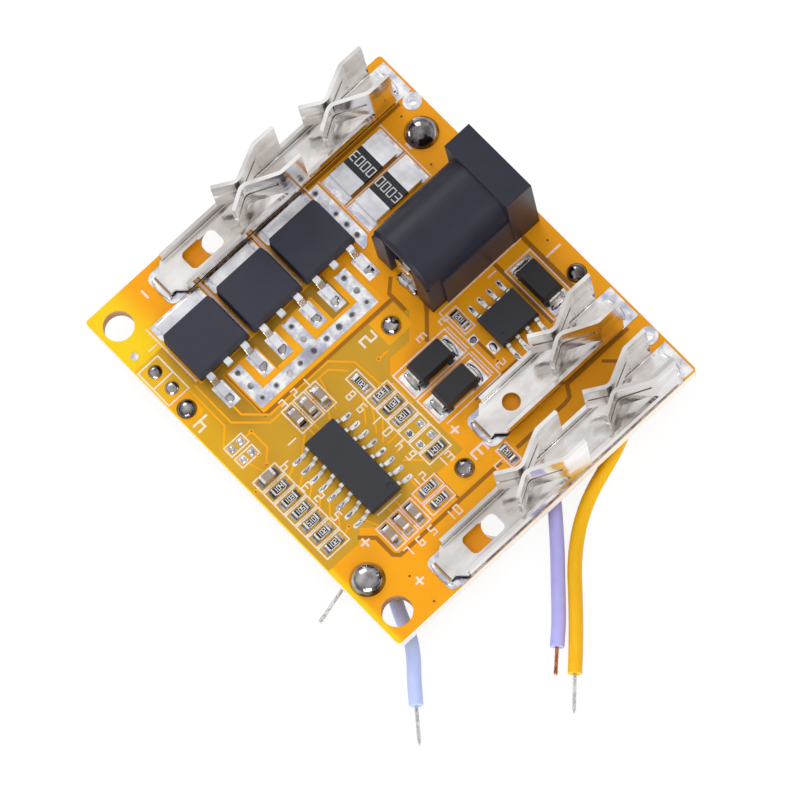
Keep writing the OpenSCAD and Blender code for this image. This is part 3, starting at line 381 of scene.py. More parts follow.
def prism(bm, pts, z0, z1, mat=0):
    """Upright prism over a flat outline; a hair of extra height keeps overlapping prints apart."""
    z1 += HAIR * (len(bm.verts) // 4 % HAIR_STEPS)
    area = sum(a[0] * b[1] - b[0] * a[1] for a, b in zip(pts, pts[1:] + pts[:1]))
    if area < 0:
        pts = pts[::-1]
    lo = [bm.verts.new((x, y, z0)) for x, y in pts]
    hi = [bm.verts.new((x, y, z1)) for x, y in pts]
    faces = [bm.faces.new(hi), bm.faces.new(lo[::-1])]
    sides = zip(lo, lo[1:] + lo[:1], hi[1:] + hi[:1], hi)
    faces += [bm.faces.new(corners) for corners in sides]
    for f in faces:
        f.material_index = mat


def rect(x0, y0, x1, y1):
    """Rectangle from corner to corner."""
    return [(x0, y0), (x1, y0), (x1, y1), (x0, y1)]


def disc(x, y, r, n=24):
    """Round outline of n points."""
    angles = [math.tau * i / n for i in range(n)]
    return [(x + r * math.cos(a), y + r * math.sin(a)) for a in angles]


def pill(x0, y0, x1, y1, r, n=5):
    """Rectangle with rounded corners."""
    corners = (
        (x1 - r, y1 - r, 0), (x0 + r, y1 - r, 90), (x0 + r, y0 + r, 180), (x1 - r, y0 + r, 270),
    )
    pts = []
    for cx, cy, start in corners:
        angles = [math.radians(start + 90 * i / n) for i in range(n + 1)]
        pts += [(cx + r * math.cos(a), cy + r * math.sin(a)) for a in angles]
    return pts


SHARPEST_MITRE = 0.35


def ribbon(bm, pts, w, z0, z1, mat=0, closed=False):
    """Flat band of width w along a line, with mitred corners."""
    line = [Vector(p) for p in pts]
    n = len(line)
    left, right = [], []
    for i, here in enumerate(line):
        before = line[i - 1] if i or closed else None
        after = line[(i + 1) % n] if i < n - 1 or closed else None
        arriving = (here - before).normalized() if before is not None else None
        leaving = (after - here).normalized() if after is not None else arriving
        arriving = arriving or leaving
        tangent = (arriving + leaving).normalized()
        across = Vector((-tangent.y, tangent.x))
        reach = w / 2 / max(SHARPEST_MITRE, abs(across.dot(Vector((-arriving.y, arriving.x)))))
        left.append(here + across * reach)
        right.append(here - across * reach)
    for i in range(n if closed else n - 1):
        j = (i + 1) % n
        prism(bm, [tuple(right[i]), tuple(right[j]), tuple(left[j]), tuple(left[i])], z0, z1, mat)


# a digit's strokes by letter, and each stroke's ends on a 1 by 2 grid
SEGS = {
    "0": "abcdef", "1": "i", "2": "abged", "3": "abgcd", "4": "fgbc", "5": "afgcd", "6": "afgedc",
    "7": "abc", "8": "abcdefg", "9": "abcdfg", "-": "g", "+": "gv",
}
LINES = {
    "a": ((0, 2), (1, 2)), "b": ((1, 2), (1, 1)), "c": ((1, 1), (1, 0)), "d": ((0, 0), (1, 0)),
    "e": ((0, 0), (0, 1)), "f": ((0, 1), (0, 2)), "g": ((0, 1), (1, 1)),
    "v": ((0.5, 0.5), (0.5, 1.5)), "i": ((0.5, 0), (0.5, 2)),
}


def digits(bm, text, x, y, h, turn, z0, z1, w, mat=0, gap=0.75):
    """Plain numbers and signs, centred on x, y and turned by degrees."""
    unit = h / 2
    advance = unit * (1 + gap)
    cos_turn, sin_turn = math.cos(math.radians(turn)), math.sin(math.radians(turn))
    first = -(len(text) - 1) * advance / 2 - unit / 2
    for i, ch in enumerate(text):
        start = first + i * advance
        for seg in SEGS[ch]:
            a, b = (Vector((start + px * unit, (py - 1) * unit)) for px, py in LINES[seg])
            overrun = (b - a).normalized() * w / 2
            a, b = a - overrun, b + overrun
            ends = [(x + p.x * cos_turn - p.y * sin_turn, y + p.x * sin_turn + p.y * cos_turn)
                for p in (a, b)]
            ribbon(bm, ends, w, z0, z1, mat)


def box(bm, lo, hi, mat=0, bevel=0.0):
    """Axis-aligned box, bevelled on request."""
    corners = bmesh.ops.create_cube(bm, size=1.0)["verts"]
    for v in corners:
        v.co = Vector([(lo[i] + hi[i]) / 2 + v.co[i] * (hi[i] - lo[i]) for i in range(3)])
    for f in dict.fromkeys(f for v in corners for f in v.link_faces):
        f.material_index = mat
    if bevel:
        edges = list(dict.fromkeys(e for v in corners for e in v.link_edges))
        bevelled = bmesh.ops.bevel(bm, geom=edges, offset=bevel, segments=2, affect="EDGES",
            profile=0.5)
        for f in bevelled["faces"]:
            f.material_index = mat


# ------------------------------------------------------------- wires --------
# the same taps, headings in degrees and route points as the solids in part.scad
TAPS = [(7.5, 18.5), (-1.45, 1.6), (14.45, -3.2), (-9.35, -18.8)]
HEADINGS = [-38, 8, -150, 75]
ROUTES = {
    "yellow": [
        (10.8, 16.2), (13, 15.5), (15.4, 15.2), (17.8, 14.6), (19.9, 13.4), (21.5, 11.6),
        (22.6, 9.4), (23.4, 7), (24.2, 4.6), (25.3, 2.3), (26.8, 0.1), (28.6, -1.9), (30.6, -3.7),
        (32.6, -5.5), (34.6, -7.4), (36.5, -9.3),
    ],
    "violet": [
        (2.8, 2.2), (5.2, 2.6), (7.8, 3.2), (10.4, 3.8), (13, 4.2), (15.6, 4.2), (18, 3.6),
        (20.2, 2.6), (22.2, 1.3), (24.2, -0.3), (26.2, -2), (28.2, -3.8), (30.2, -5.6),
        (31.8, -7.1), (33.3, -8.7),
    ],
    "blue": [
        (10.9, -5.5), (9.5, -7.2), (8.9, -9.3), (9.2, -11.4), (10.4, -13.2), (12.2, -14.5),
        (14.3, -15.2), (16.4, -15.7), (18.4, -16.7), (20.3, -17.6), (22.2, -18.3), (24, -19.4),
        (26, -21.1), (28, -22.7),
    ],
    "grey": [
        (-8.4, -14.4), (-7.4, -12.2), (-5.6, -10.6), (-3.3, -10), (-1, -10.3), (1.2, -11.2),
        (3.3, -12.3), (5.4, -13.5), (7.5, -14.6), (9.6, -15.5), (11.6, -16.2), (13.1, -17.2),
        (13.9, -18.4), (14.15, -19.6),
    ],
}
# length of the bare, twisted end
TIPS = {"yellow": 4.0, "violet": 2.8, "blue": 4.0, "grey": 4.4}
WIRE_D = 1.45
CORE_D = 0.4
WIRE_Z = WIRE_D / 2
STRAND_R = 0.066
STRAND_RINGS, STRAND_SIDES = 30, 6
LAY = 3.1           # length of one turn of the twist
LAY_R = 0.128       # outer strands' distance from the middle one
TINNED = ("tin_strand", "tinned_core")      # material and slot of every core but the violet wire's
CORE_OUT = 1.5      # core from the tap to the wire's end face
CORE_TAIL = 0.6


def strands(colour, start, heading, mat):
    """Seven fine strands twisted together, a little open at the end."""
    tip = TIPS[colour]
    bm = bmesh.new()
    along = Vector((heading.x, heading.y, 0)).normalized()
    side = Vector((-along.y, along.x, 0))
    dip = math.asin((WIRE_Z - CORE_D / 2 - 0.01) / tip)
    axis = (along * math.cos(dip) - Vector((0, 0, math.sin(dip)))).normalized()
    lift = side.cross(axis) * -1
    base = Vector((start.x, start.y, WIRE_Z))
    for k in range(7):
        reach = 0.0 if k == 6 else LAY_R
        phase = math.tau * k / 6
        length = tip * (1 - 0.05 * (k % 3)) - 0.05
        prev = None
        for i in range(STRAND_RINGS + 1):
            t = i / STRAND_RINGS
            angle = phase + t * length * math.tau / LAY
            flare = 1.0 + 0.28 * max(0.0, t - 0.8) / 0.2 * (0.5 + 0.5 * math.sin(k * 2.1))
            out = side * math.cos(angle) + lift * math.sin(angle)
            centre = base + axis * (t * length) + out * reach * flare
            centre.z = max(centre.z, STRAND_R + 0.005)
            ring = []
            for j in range(STRAND_SIDES):
                around = math.tau * j / STRAND_SIDES
                out = side * math.cos(around) + lift * math.sin(around)
                ring.append(bm.verts.new(centre + out * STRAND_R))
            if prev:
                for j in range(STRAND_SIDES):
                    after = (j + 1) % STRAND_SIDES
                    bm.faces.new((prev[j], prev[after], ring[after], ring[j]))
            else:
                bm.faces.new(ring[::-1])
            prev = ring
        bm.faces.new(prev)
    bmesh.ops.recalc_face_normals(bm, faces=bm.faces)
    piece = add_piece("strands_" + colour, bm, [mat], smooth=True)
    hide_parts("core_" + colour)
    return piece


for (colour, route), tap, heading in zip(ROUTES.items(), TAPS, HEADINGS):
    ahead_dir = Vector((math.cos(math.radians(heading)), math.sin(math.radians(heading))))
    leave = Vector(tap) + ahead_dir * CORE_OUT
    line = [leave, leave + ahead_dir * CORE_TAIL] + [Vector(p) for p in route]
    curve = bpy.data.curves.new("wire_" + colour, "CURVE")
    curve.dimensions = "3D"
    curve.bevel_depth = WIRE_D / 2 * MM
    curve.bevel_resolution = 5
    curve.resolution_u = 4
    curve.use_fill_caps = True
    spline = curve.splines.new("BEZIER")
    spline.bezier_points.add(len(line) - 1)
    for b, p in zip(spline.bezier_points, line):
        b.co = Vector((p.x, p.y, WIRE_Z)) * MM
        b.handle_left_type = b.handle_right_type = "AUTO"
    curve.materials.append(MATERIALS[colour])
    insulation = bpy.data.objects.new("insulation_" + colour, curve)
    scene.collection.objects.link(insulation)
    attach(insulation, "root")
    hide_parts("wire_" + colour)
    end_dir = (line[-1] - line[-2]).normalized()
    look, slot = ("copper_strand", "copper_core") if colour == "violet" else TINNED
    core = strands(colour, line[-1], end_dir, look)
    bpy.context.view_layer.update()

# ---------------------------------------------- CAD nodes' materials --------
LOOK = {
    "board": "board", "tinned_copper": "tin", "jack_housing": "jack", "controller_body": "chip",
    "gate_body": "chip", "controller_leads": "lead", "gate_leads": "lead", "power_joints": "joint",
    "tap_joints": "joint", "jack_pin": "contact", "jack_spring": "contact",
    "jack_switch": "contact",
}
LOOK_BY_START = {
    "strip_": "strip", "fet_body": "fet", "fet_frame": "plate", "diode_body": "diode",
    "diode_leads": "lead",
}


def look_of(node):
    """Material key of a CAD node, or None where a finer piece replaces it."""
    for start, key in LOOK_BY_START.items():
        if node.startswith(start):
            return key
    return LOOK.get(node)


for n, o in NODES.items():
    look = look_of(n)
    if look:
        o.data.materials.clear()
        o.data.materials.append(MATERIALS[look])


SHARP_ANGLE = 30        # degrees
WELD_M = 0.000002       # joins the corners that an imported mesh keeps apart


def soften(node, width):
    """Rounds a CAD node's sharp edges a little, as moulding and stamping leave them."""
    piece = NODES[node]
    weld = piece.modifiers.new("weld", "WELD")
    weld.merge_threshold = WELD_M
    bevel = piece.modifiers.new("soft_edges", "BEVEL")
    bevel.width = width * MM
    bevel.segments = 2
    bevel.limit_method = "ANGLE"
    bevel.angle_limit = math.radians(SHARP_ANGLE)


for n in NODES:
    if n.startswith(("fet_body", "diode_body")) or n in ("controller_body", "gate_body"):
        soften(n, 0.10)
    elif n == "jack_housing":
        soften(n, 0.16)
    elif n.startswith(("fet_frame", "diode_leads")):
        soften(n, 0.05)

# ----------------------------------------------------- board printing -------
X, Y = 0, 1


def middle(node, axis):
    """Middle of a CAD node's box along an axis, in millimetres, to the micrometre."""
    lo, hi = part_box(node)
    return round((lo[axis] + hi[axis]) / 2 / MM, 3)


ZB, ZT = (round(v.z / MM, 3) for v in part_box("board"))      # board's lower and upper faces
FOOT_LOW, FOOT = ZT + 0.001, ZT + 0.002     # where prints start
Z_BARE, Z_CHAN, Z_TRACE = ZT + 0.008, ZT + 0.014, ZT + 0.024
Z_SILK, Z_PAD = ZT + 0.036, ZT + 0.045
Z_SLOT_MASK = ZT + 0.10
Z_SOLDER = ZT + 0.03
STRIP_X = (middle("strip_negative", X), middle("strip_positive", X))
CHARGE_X = middle("strip_charge", X)
FETS_Y = [middle(f"fet_body_{i}", Y) for i in (1, 2, 3)]
FET_LEAD_Y = 2.29           # outer leads from the transistor's middle
SHUNTS_X = [middle(f"shunt_{i}", X) for i in (1, 2)]
DIODES_X = [middle(f"diode_body_{i}", X) for i in (2, 3)]      # the pair; the first lies across
PITCH = 1.27                # leads of the two chips
CONTROLLER_X, CONTROLLER_LEADS = middle("controller_body", X), 8
GATE_Y, GATE_LEADS = middle("gate_body", Y), 4
LEAD_PAD, FET_PAD, DIODE_PAD = 0.24, 0.72, 1.35     # half widths
SMALL_PITCH = 1.59          # rows of chip parts
LACING_X, LACING_Y = 17.25, 19.1


def row(centre, count):
    """Places of a row of leads."""
    return [centre + (i - (count - 1) / 2) * PITCH for i in range(count)]


bm = bmesh.new()
for poly in (
    [(-3.6, 3.9), (-1.3, 3.9), (1.0, 1.8), (1.0, -0.8), (2.3, -2.0), (12.9, -2.0), (12.9, -13.4),
        (11.7, -14.8), (12.8, -15.9), (12.8, -19.95), (-3.6, -19.95)],
    [(-15.8, -16.1), (-10.2, -16.1), (-10.2, -13.9), (-3.6, -13.9), (-3.6, -19.95),
        (-15.8, -19.95)],
    rect(-10.2, -13.9, -9.35, 0.2), rect(-9.35, -9.5, -6.0, -7.0), rect(-9.35, -2.1, -6.0, 0.2),
):
    prism(bm, poly, FOOT_LOW, Z_BARE)
add_piece("bare_laminate", bm, ["bare"])

bm = bmesh.new()
for w, *line in (
    (0.5, (1.0, 17.2), (10.6, 17.2)), (0.45, (1.0, 13.3), (9.6, 13.3)),
    (0.42, (-2.4, 6.7), (0.0, 5.1), (2.3, 3.0)),
    (0.42, (15.25, 18.2), (15.25, 9.9), (16.4, 9.2), (16.55, 8.4), (16.55, 1.9)),
    (0.42, (16.55, -0.2), (16.55, -13.8), (16.0, -14.3), (13.6, -14.3), (12.3, -15.6)),
    (0.35, (-17.9, 18.0), (-17.9, -9.0)), (0.35, (-13.95, 14.9), (-13.95, 6.9)),
    (0.4, (-5.2, 5.0), (-4.0, 3.7), (-1.6, 3.7)),
    (0.4, (-3.4, 3.6), (-3.4, -13.6), (-9.3, -13.6)),
    (0.35, (15.9, 14.0), (17.4, 15.5), (17.4, 17.8)), (0.4, (10.0, 2.3), (10.0, 8.2)),
    (0.3, (8.3, 6.6), (4.9, 6.6)), (0.3, (12.9, -5.7), (16.3, -5.7)),
):
    ribbon(bm, line, w, FOOT_LOW, Z_CHAN)
add_piece("isolation_channels", bm, ["channel"])

bm = bmesh.new()
ribbon(bm, [(-6.0, -9.4), (-6.0, -7.05), (-9.3, -7.05)], 0.5, FOOT, Z_TRACE)
for poly in (
    rect(-9.2, -6.95, -5.9, -2.1), rect(-9.2, -13.6, -5.9, -9.55), rect(-9.2, 0.25, -5.9, 2.9),
    rect(-5.95, -13.6, -3.65, 3.0),
    rect(-3.1, 0.05, 0.0, 3.35), rect(13.05, -5.6, 16.2, -2.0),
    pill(-11.1, -19.9, -7.9, -17.6, 0.5),
):
    prism(bm, poly, FOOT, Z_TRACE)
for w, *line in (
    (0.22, (-6.4, -15.3), (-5.1, -15.3), (-3.1, -13.3), (-3.1, -5.4), (-1.2, -3.6), (2.3, -3.3)),
    (0.22, (-10.6, -16.6), (-5.2, -16.6), (-2.45, -13.8), (-2.45, -6.0), (-1.0, -4.65)),
    (0.22, (-10.6, -17.3), (-5.4, -17.3), (-3.9, -18.8), (-0.8, -18.8)),
    (0.22, (-3.0, -15.75), (-0.8, -15.75), (0.45, -17.0)),
    (0.2, (-1.5, -18.4), (1.0, -17.6)), (0.2, (2.0, -5.4), (4.4, -7.2)),
    (0.2, (3.3, -5.4), (5.8, -7.0)), (0.2, (4.9, -5.4), (6.9, -7.2)),
    (0.2, (7.3, -5.4), (7.3, -7.0)), (0.2, (11.2, -5.4), (9.6, -7.0)),
    (0.2, (8.1, -5.3), (8.6, -7.0)), (0.2, (2.3, -3.3), (3.2, -2.3), (6.0, -2.3)),
    (0.2, (11.3, -7.8), (13.0, -7.9)), (0.2, (11.9, -10.4), (13.3, -10.4)),
    (0.2, (11.9, -11.4), (13.3, -11.4)), (0.2, (11.4, -13.9), (13.4, -13.0)),
    (0.2, (0.0, -8.4), (1.9, -9.6)), (0.2, (0.3, -10.8), (1.9, -10.8)),
    (0.2, (0.3, -11.5), (1.9, -11.5)), (0.2, (0.3, -11.6), (2.2, -13.8)),
    (0.2, (0.25, -1.6), (0.25, -0.4)), (0.2, (1.1, -8.2), (-2.4, -7.2)),
    (0.2, (10.9, -15.5), (11.3, -16.9)),
    (0.2, (2.4, -15.0), (3.2, -16.8)), (0.2, (3.7, -15.0), (4.8, -16.8)),
    (0.2, (5.0, -15.0), (6.4, -16.8)), (0.2, (6.2, -15.0), (8.0, -16.8)),
    (0.2, (7.5, -15.0), (9.6, -16.8)), (0.2, (8.8, -15.0), (11.1, -16.8)),
    (0.2, (1.8, -19.6), (1.6, -18.6)), (0.2, (-3.1, -15.8), (-3.1, -16.9)),
):
    ribbon(bm, line, w, FOOT, Z_TRACE)
add_piece("masked_traces", bm, ["trace"])

# mask left on the board below the strips' slots and round hole, in a redder copy of the trace mask:
# painted light against the strips' shade
bm = bmesh.new()
SLOT_HALF, SLOT_END_Y = 1.3, -8.95
RELIEF_R, RELIEF_Y = 1.66, -4.75    # relief hole beside the slot's mask
for x in STRIP_X:
    a0 = math.acos(SLOT_HALF / RELIEF_R)
    angles = [-a0 + (2 * a0 - math.pi) * k / 12 for k in range(13)]
    arc = [(x + RELIEF_R * math.cos(a), RELIEF_Y + RELIEF_R * math.sin(a)) for a in angles]
    prism(bm, [(x - SLOT_HALF, SLOT_END_Y), (x + SLOT_HALF, SLOT_END_Y)] + arc, FOOT, Z_SLOT_MASK)
prism(bm, disc(CHARGE_X, 4.6, 1.35), FOOT, Z_SLOT_MASK)
add_piece("slot_mask_painted_light", bm, ["slot_mask_painted_light"])

# pads: bare tinned copper under the leads and chip parts, and on empty places
bm = bmesh.new()
for y in FETS_Y:
    prism(bm, pill(-18.15, y - 3.2, -16.1, y + 3.2, 0.3), FOOT, Z_PAD)
    for s in (-1, 1):
        lead_y = y + s * FET_LEAD_Y
        prism(bm, pill(-9.15, lead_y - FET_PAD, -6.3, lead_y + FET_PAD, 0.12), FOOT, Z_PAD)
for x in SHUNTS_X:
    for y0, y1 in ((13.9, 14.85), (6.75, 7.85)):
        prism(bm, pill(x - 1.7, y0, x + 1.7, y1, 0.1), FOOT, Z_PAD)
for x in row(CONTROLLER_X, CONTROLLER_LEADS):
    for y0, y1 in ((-8.55, -7.4), (-15.2, -14.05)):
        prism(bm, pill(x - LEAD_PAD, y0, x + LEAD_PAD, y1, 0.22), FOOT, Z_PAD)
for y in row(GATE_Y, GATE_LEADS):
    for x0, x1 in ((2.5, 3.65), (9.15, 10.3)):
        prism(bm, pill(x0, y - LEAD_PAD, x1, y + LEAD_PAD, 0.22), FOOT, Z_PAD)
prism(bm, disc(-17.0, -18.9, 0.42), FOOT, Z_PAD)
for x in DIODES_X:
    prism(bm, pill(x - DIODE_PAD, 2.9, x + DIODE_PAD, 4.85, 0.15), FOOT, Z_PAD)
    prism(bm, pill(x - DIODE_PAD, -1.65, x + DIODE_PAD, 0.3, 0.15), FOOT, Z_PAD)
prism(bm, pill(2.7, 13.85, 4.6, 16.45, 0.15), FOOT, Z_PAD)
prism(bm, pill(7.1, 13.85, 9.3, 16.45, 0.15), FOOT, Z_PAD)
prism(bm, rect(22.3, -11.6, 23.1, 18.3), FOOT, Z_PAD)
# pads of parts that are not fitted: middle, width and height
EMPTY = [(x, y, 0.84, 0.7) for x in (8.06, 9.65) for y in (-3.2, -4.7)]
EMPTY += [(-3.1, -17.25, 0.8, 0.7), (-3.1, -18.4, 0.8, 0.7), (-1.5, -17.2, 0.8, 0.7)]
EMPTY += [(-1.5, -18.3, 0.8, 0.7), (7.35, 7.3, 1.3, 0.9), (5.4, 6.4, 0.9, 0.9)]
for x, y, w, h in EMPTY:
    prism(bm, pill(x - w / 2, y - h / 2, x + w / 2, y + h / 2, 0.1), FOOT, Z_PAD)
add_piece("pads", bm, ["tin"])

# silk screen: outlines, numbers and signs
INK_SPREAD = 0.03
bm = bmesh.new()        # on the mask
pale = bmesh.new()      # on bare laminate


def frame_line(ink, x0, y0, x1, y1, w=0.12):
    """Printed outline; the ink spreads a little."""
    ribbon(ink, rect(x0, y0, x1, y1), w + INK_SPREAD, FOOT, Z_SILK, closed=True)


for y in FETS_Y:
    for s in (-1, 1):
        ribbon(bm, [(-18.3, y + s * 3.5), (-10.75, y + s * 3.5)], 0.16, FOOT, Z_SILK)
ribbon(bm, [(-17.6, 14.95), (-17.6, 15.1), (-10.1, 15.1)], 0.13, FOOT, Z_SILK)
ribbon(bm, [(-17.6, 6.62), (-10.1, 6.62)], 0.13, FOOT, Z_SILK)
ribbon(bm, [(-13.75, 14.9), (-13.75, 6.8)], 0.13, FOOT, Z_SILK)
for x0, x1 in ((2.55, 5.75), (6.1, 9.3)):
    frame_line(bm, x0, -1.85, x1, 5.15, 0.14)
    ribbon(bm, [(x0, 5.45), (x1, 5.45)], 0.14, FOOT, Z_SILK)
frame_line(bm, 2.45, 13.5, 9.5, 16.85, 0.14)
ribbon(bm, [(0.95, 5.9), (9.9, 5.9), (9.9, -1.4)], 0.14, FOOT, Z_SILK)
ribbon(bm, [(0.98, 17.0), (0.98, 6.0)], 0.14, FOOT, Z_SILK)
frame_line(bm, 1.6, 6.25, 4.45, 7.55, 0.12)
frame_line(bm, 15.35, 0.2, 17.7, 1.5, 0.12)
for x in (13.5, 15.15):
    frame_line(bm, x - 0.72, -8.75, x + 0.72, -5.75, 0.12)
for y in (-9.85, -11.45, -13.05):
    frame_line(bm, 12.95, y - 0.68, 15.95, y + 0.68, 0.12)
for i in range(6):
    x = 3.15 + SMALL_PITCH * i
    frame_line(pale, x - 0.7, -5.45, x + 0.7, -2.55, 0.12)
frame_line(pale, -0.5, -5.4, 2.35, -3.95, 0.12)
for x in [1.6] + [3.2 + SMALL_PITCH * i for i in range(6)]:
    frame_line(pale, x - 0.7, -19.25, x + 0.7, -16.3, 0.12)
for y in (-8.4, -10.0, -11.6):
    frame_line(pale, -2.5, y - 0.68, 0.62, y + 0.68, 0.12)
frame_line(pale, -15.45, -19.85, -13.15, -17.2, 0.14)
ribbon(pale, [(-13.08, -19.85), (-10.8, -19.85), (-10.8, -17.2), (-13.08, -17.2)], 0.14, FOOT,
    Z_SILK)
ribbon(pale, [(12.0, -9.5), (12.0, -12.7)], 0.16, FOOT, Z_SILK)
for x in (-3.1, -1.5):
    frame_line(pale, x - 0.6, -18.95, x + 0.6, -16.65, 0.12)
for text, x, y, h, b in (
    ("-", -21.1, -13.8, 1.7, bm), ("+", 19.8, -14.2, 1.7, bm), ("+", 10.9, -1.2, 1.7, bm),
    ("1", 4.2, 18.4, 1.7, bm), ("2", -2.0, -1.0, 1.6, pale), ("3", 14.2, -0.95, 1.6, bm),
    ("4", -7.1, -18.7, 1.6, pale), ("+", 13.2, -15.4, 1.7, bm), ("-", -14.0, 15.6, 1.2, bm),
):
    digits(b, text, x, y, h, 180, FOOT, Z_SILK, 0.24)
for text, x, y, turn, b in (
    ("1", 1.7, 12.4, 180, bm), ("2", 1.8, 5.7, 180, bm), ("3", 1.6, 2.9, 180, bm),
    ("7", 16.6, -0.5, 180, bm), ("10", 17.1, -7.0, 90, bm), ("12", 12.3, -7.1, 90, bm),
    ("5", 16.9, -9.8, 90, bm), ("6", 16.9, -11.4, 90, bm), ("7", 16.9, -13.0, 90, bm),
    ("13", 12.5, -3.8, 90, bm), ("8", 1.1, -6.2, 180, pale), ("9", 2.8, -6.3, 180, pale),
    ("1", 4.8, -6.1, 180, pale), ("0", 6.4, -6.1, 180, pale), ("4", 8.3, -6.1, 180, pale),
    ("6", 9.8, -6.1, 180, pale), ("1", 0.5, -13.6, 180, pale), ("4", 1.9, -15.7, 180, pale),
    ("3", 4.9, -15.7, 180, pale), ("2", 6.6, -15.5, 180, pale), ("5", 9.2, -15.6, 180, pale),
    ("1", -2.9, -8.4, 90, pale), ("2", -2.9, -10.0, 90, pale), ("3", -2.9, -11.6, 90, pale),
    ("2", 9.1, 6.7, 180, bm), ("1", -16.4, -17.0, 180, pale),
):
    digits(b, text, x, y, 0.95, turn, FOOT, Z_SILK, 0.15)
add_piece("silkscreen", bm, ["silk"])
add_piece("silkscreen_pale", pale, ["silk_laminate"])

# vias: small tinned or open dimples in the tinned bus and in the mask; an open one's middle is
# painted dark, a painted shade of its hole
VIA_RIM, VIA_DIP, VIA_SIDES = 0.13, 0.02, 18
Z_BUS_VIA, Z_MASK_VIA = ZT + 0.11, ZT + 0.034
bm = bmesh.new()


def via(x, y, r, z, filled=False):
    """Raised rim with a solder-filled middle, or a middle painted dark as painted shade in the open
    hole.
    """
    ribbon(bm, disc(x, y, r + VIA_RIM / 2, VIA_SIDES), VIA_RIM, FOOT, z, 0, closed=True)
    dip = 0 if filled else VIA_DIP
    prism(bm, disc(x, y, r, VIA_SIDES), FOOT, z - dip, 0 if filled else 1)


for x, y, filled in (
    (-16.85, 5.55, 0), (-15.4, 5.55, 1), (-13.85, 5.55, 0), (-12.3, 5.55, 0), (-10.75, 5.55, 0),
    (-8.35, 1.6, 0), (-6.5, 1.6, 1), (-4.9, 1.5, 0), (-4.95, -0.45, 0), (-4.95, -2.2, 0),
    (-4.9, -3.95, 0), (-4.9, -5.7, 0), (-8.3, -5.6, 0), (-6.5, -5.6, 1), (-4.85, -7.5, 0),
    (-4.85, -9.0, 1), (-4.85, -10.8, 0), (-8.5, -12.65, 0), (-6.6, -12.65, 1), (-4.9, -12.65, 0),
):
    via(x, y, 0.22, Z_BUS_VIA, filled)
add_piece("bus_vias", bm, ["solder", "via_hole_painted_shade"])
bm = bmesh.new()
for x, y in (
    (3.0, 18.75), (-16.8, 17.2), (-11.0, 15.9), (8.7, 6.65), (9.3, 6.65), (0.25, -1.6), (2.3, -3.3),
    (-3.1, -15.8), (-3.1, -16.9), (-0.85, -16.9), (0.45, -17.0), (18.75, -14.6), (22.3, -14.6),
    (1.8, -19.6), (10.9, -15.5), (-1.2, -9.3), (-1.2, -10.8), (15.0, -10.65), (15.0, -12.25),
):
    via(x, y, 0.14, Z_MASK_VIA)
add_piece("mask_vias", bm, ["trace", "dark"])

# plated rings of the lacing holes, down to the board's underside
bm = bmesh.new()
for s in (-1, 1):
    ribbon(bm, disc(s * LACING_X, LACING_Y, 0.77, 28), 0.42, FOOT, Z_PAD, closed=True)
    ribbon(bm, disc(s * LACING_X, LACING_Y, 0.53, 28), 0.05, ZB + 0.02, Z_PAD, closed=True)
add_piece("plated_rings", bm, ["tin"])


# -------------------------------------------------------- chip parts --------
PLATED, BODY, GLAZE, MARK, SOLDER = range(5)    # material places of a chip part
PLATED_END = {"res": 0.24, "cap": 0.30}
FILLET_FOOT = {"res": 0.30, "cap": 0.42}
# the fillet's outline, as shares of its foot and of the part's height
FILLET = ((0, 0), (1, 0), (0.62, 0.10), (0.30, 0.32), (0.1, 0.66), (0, 0.80))
PAD_MARGIN = 0.08


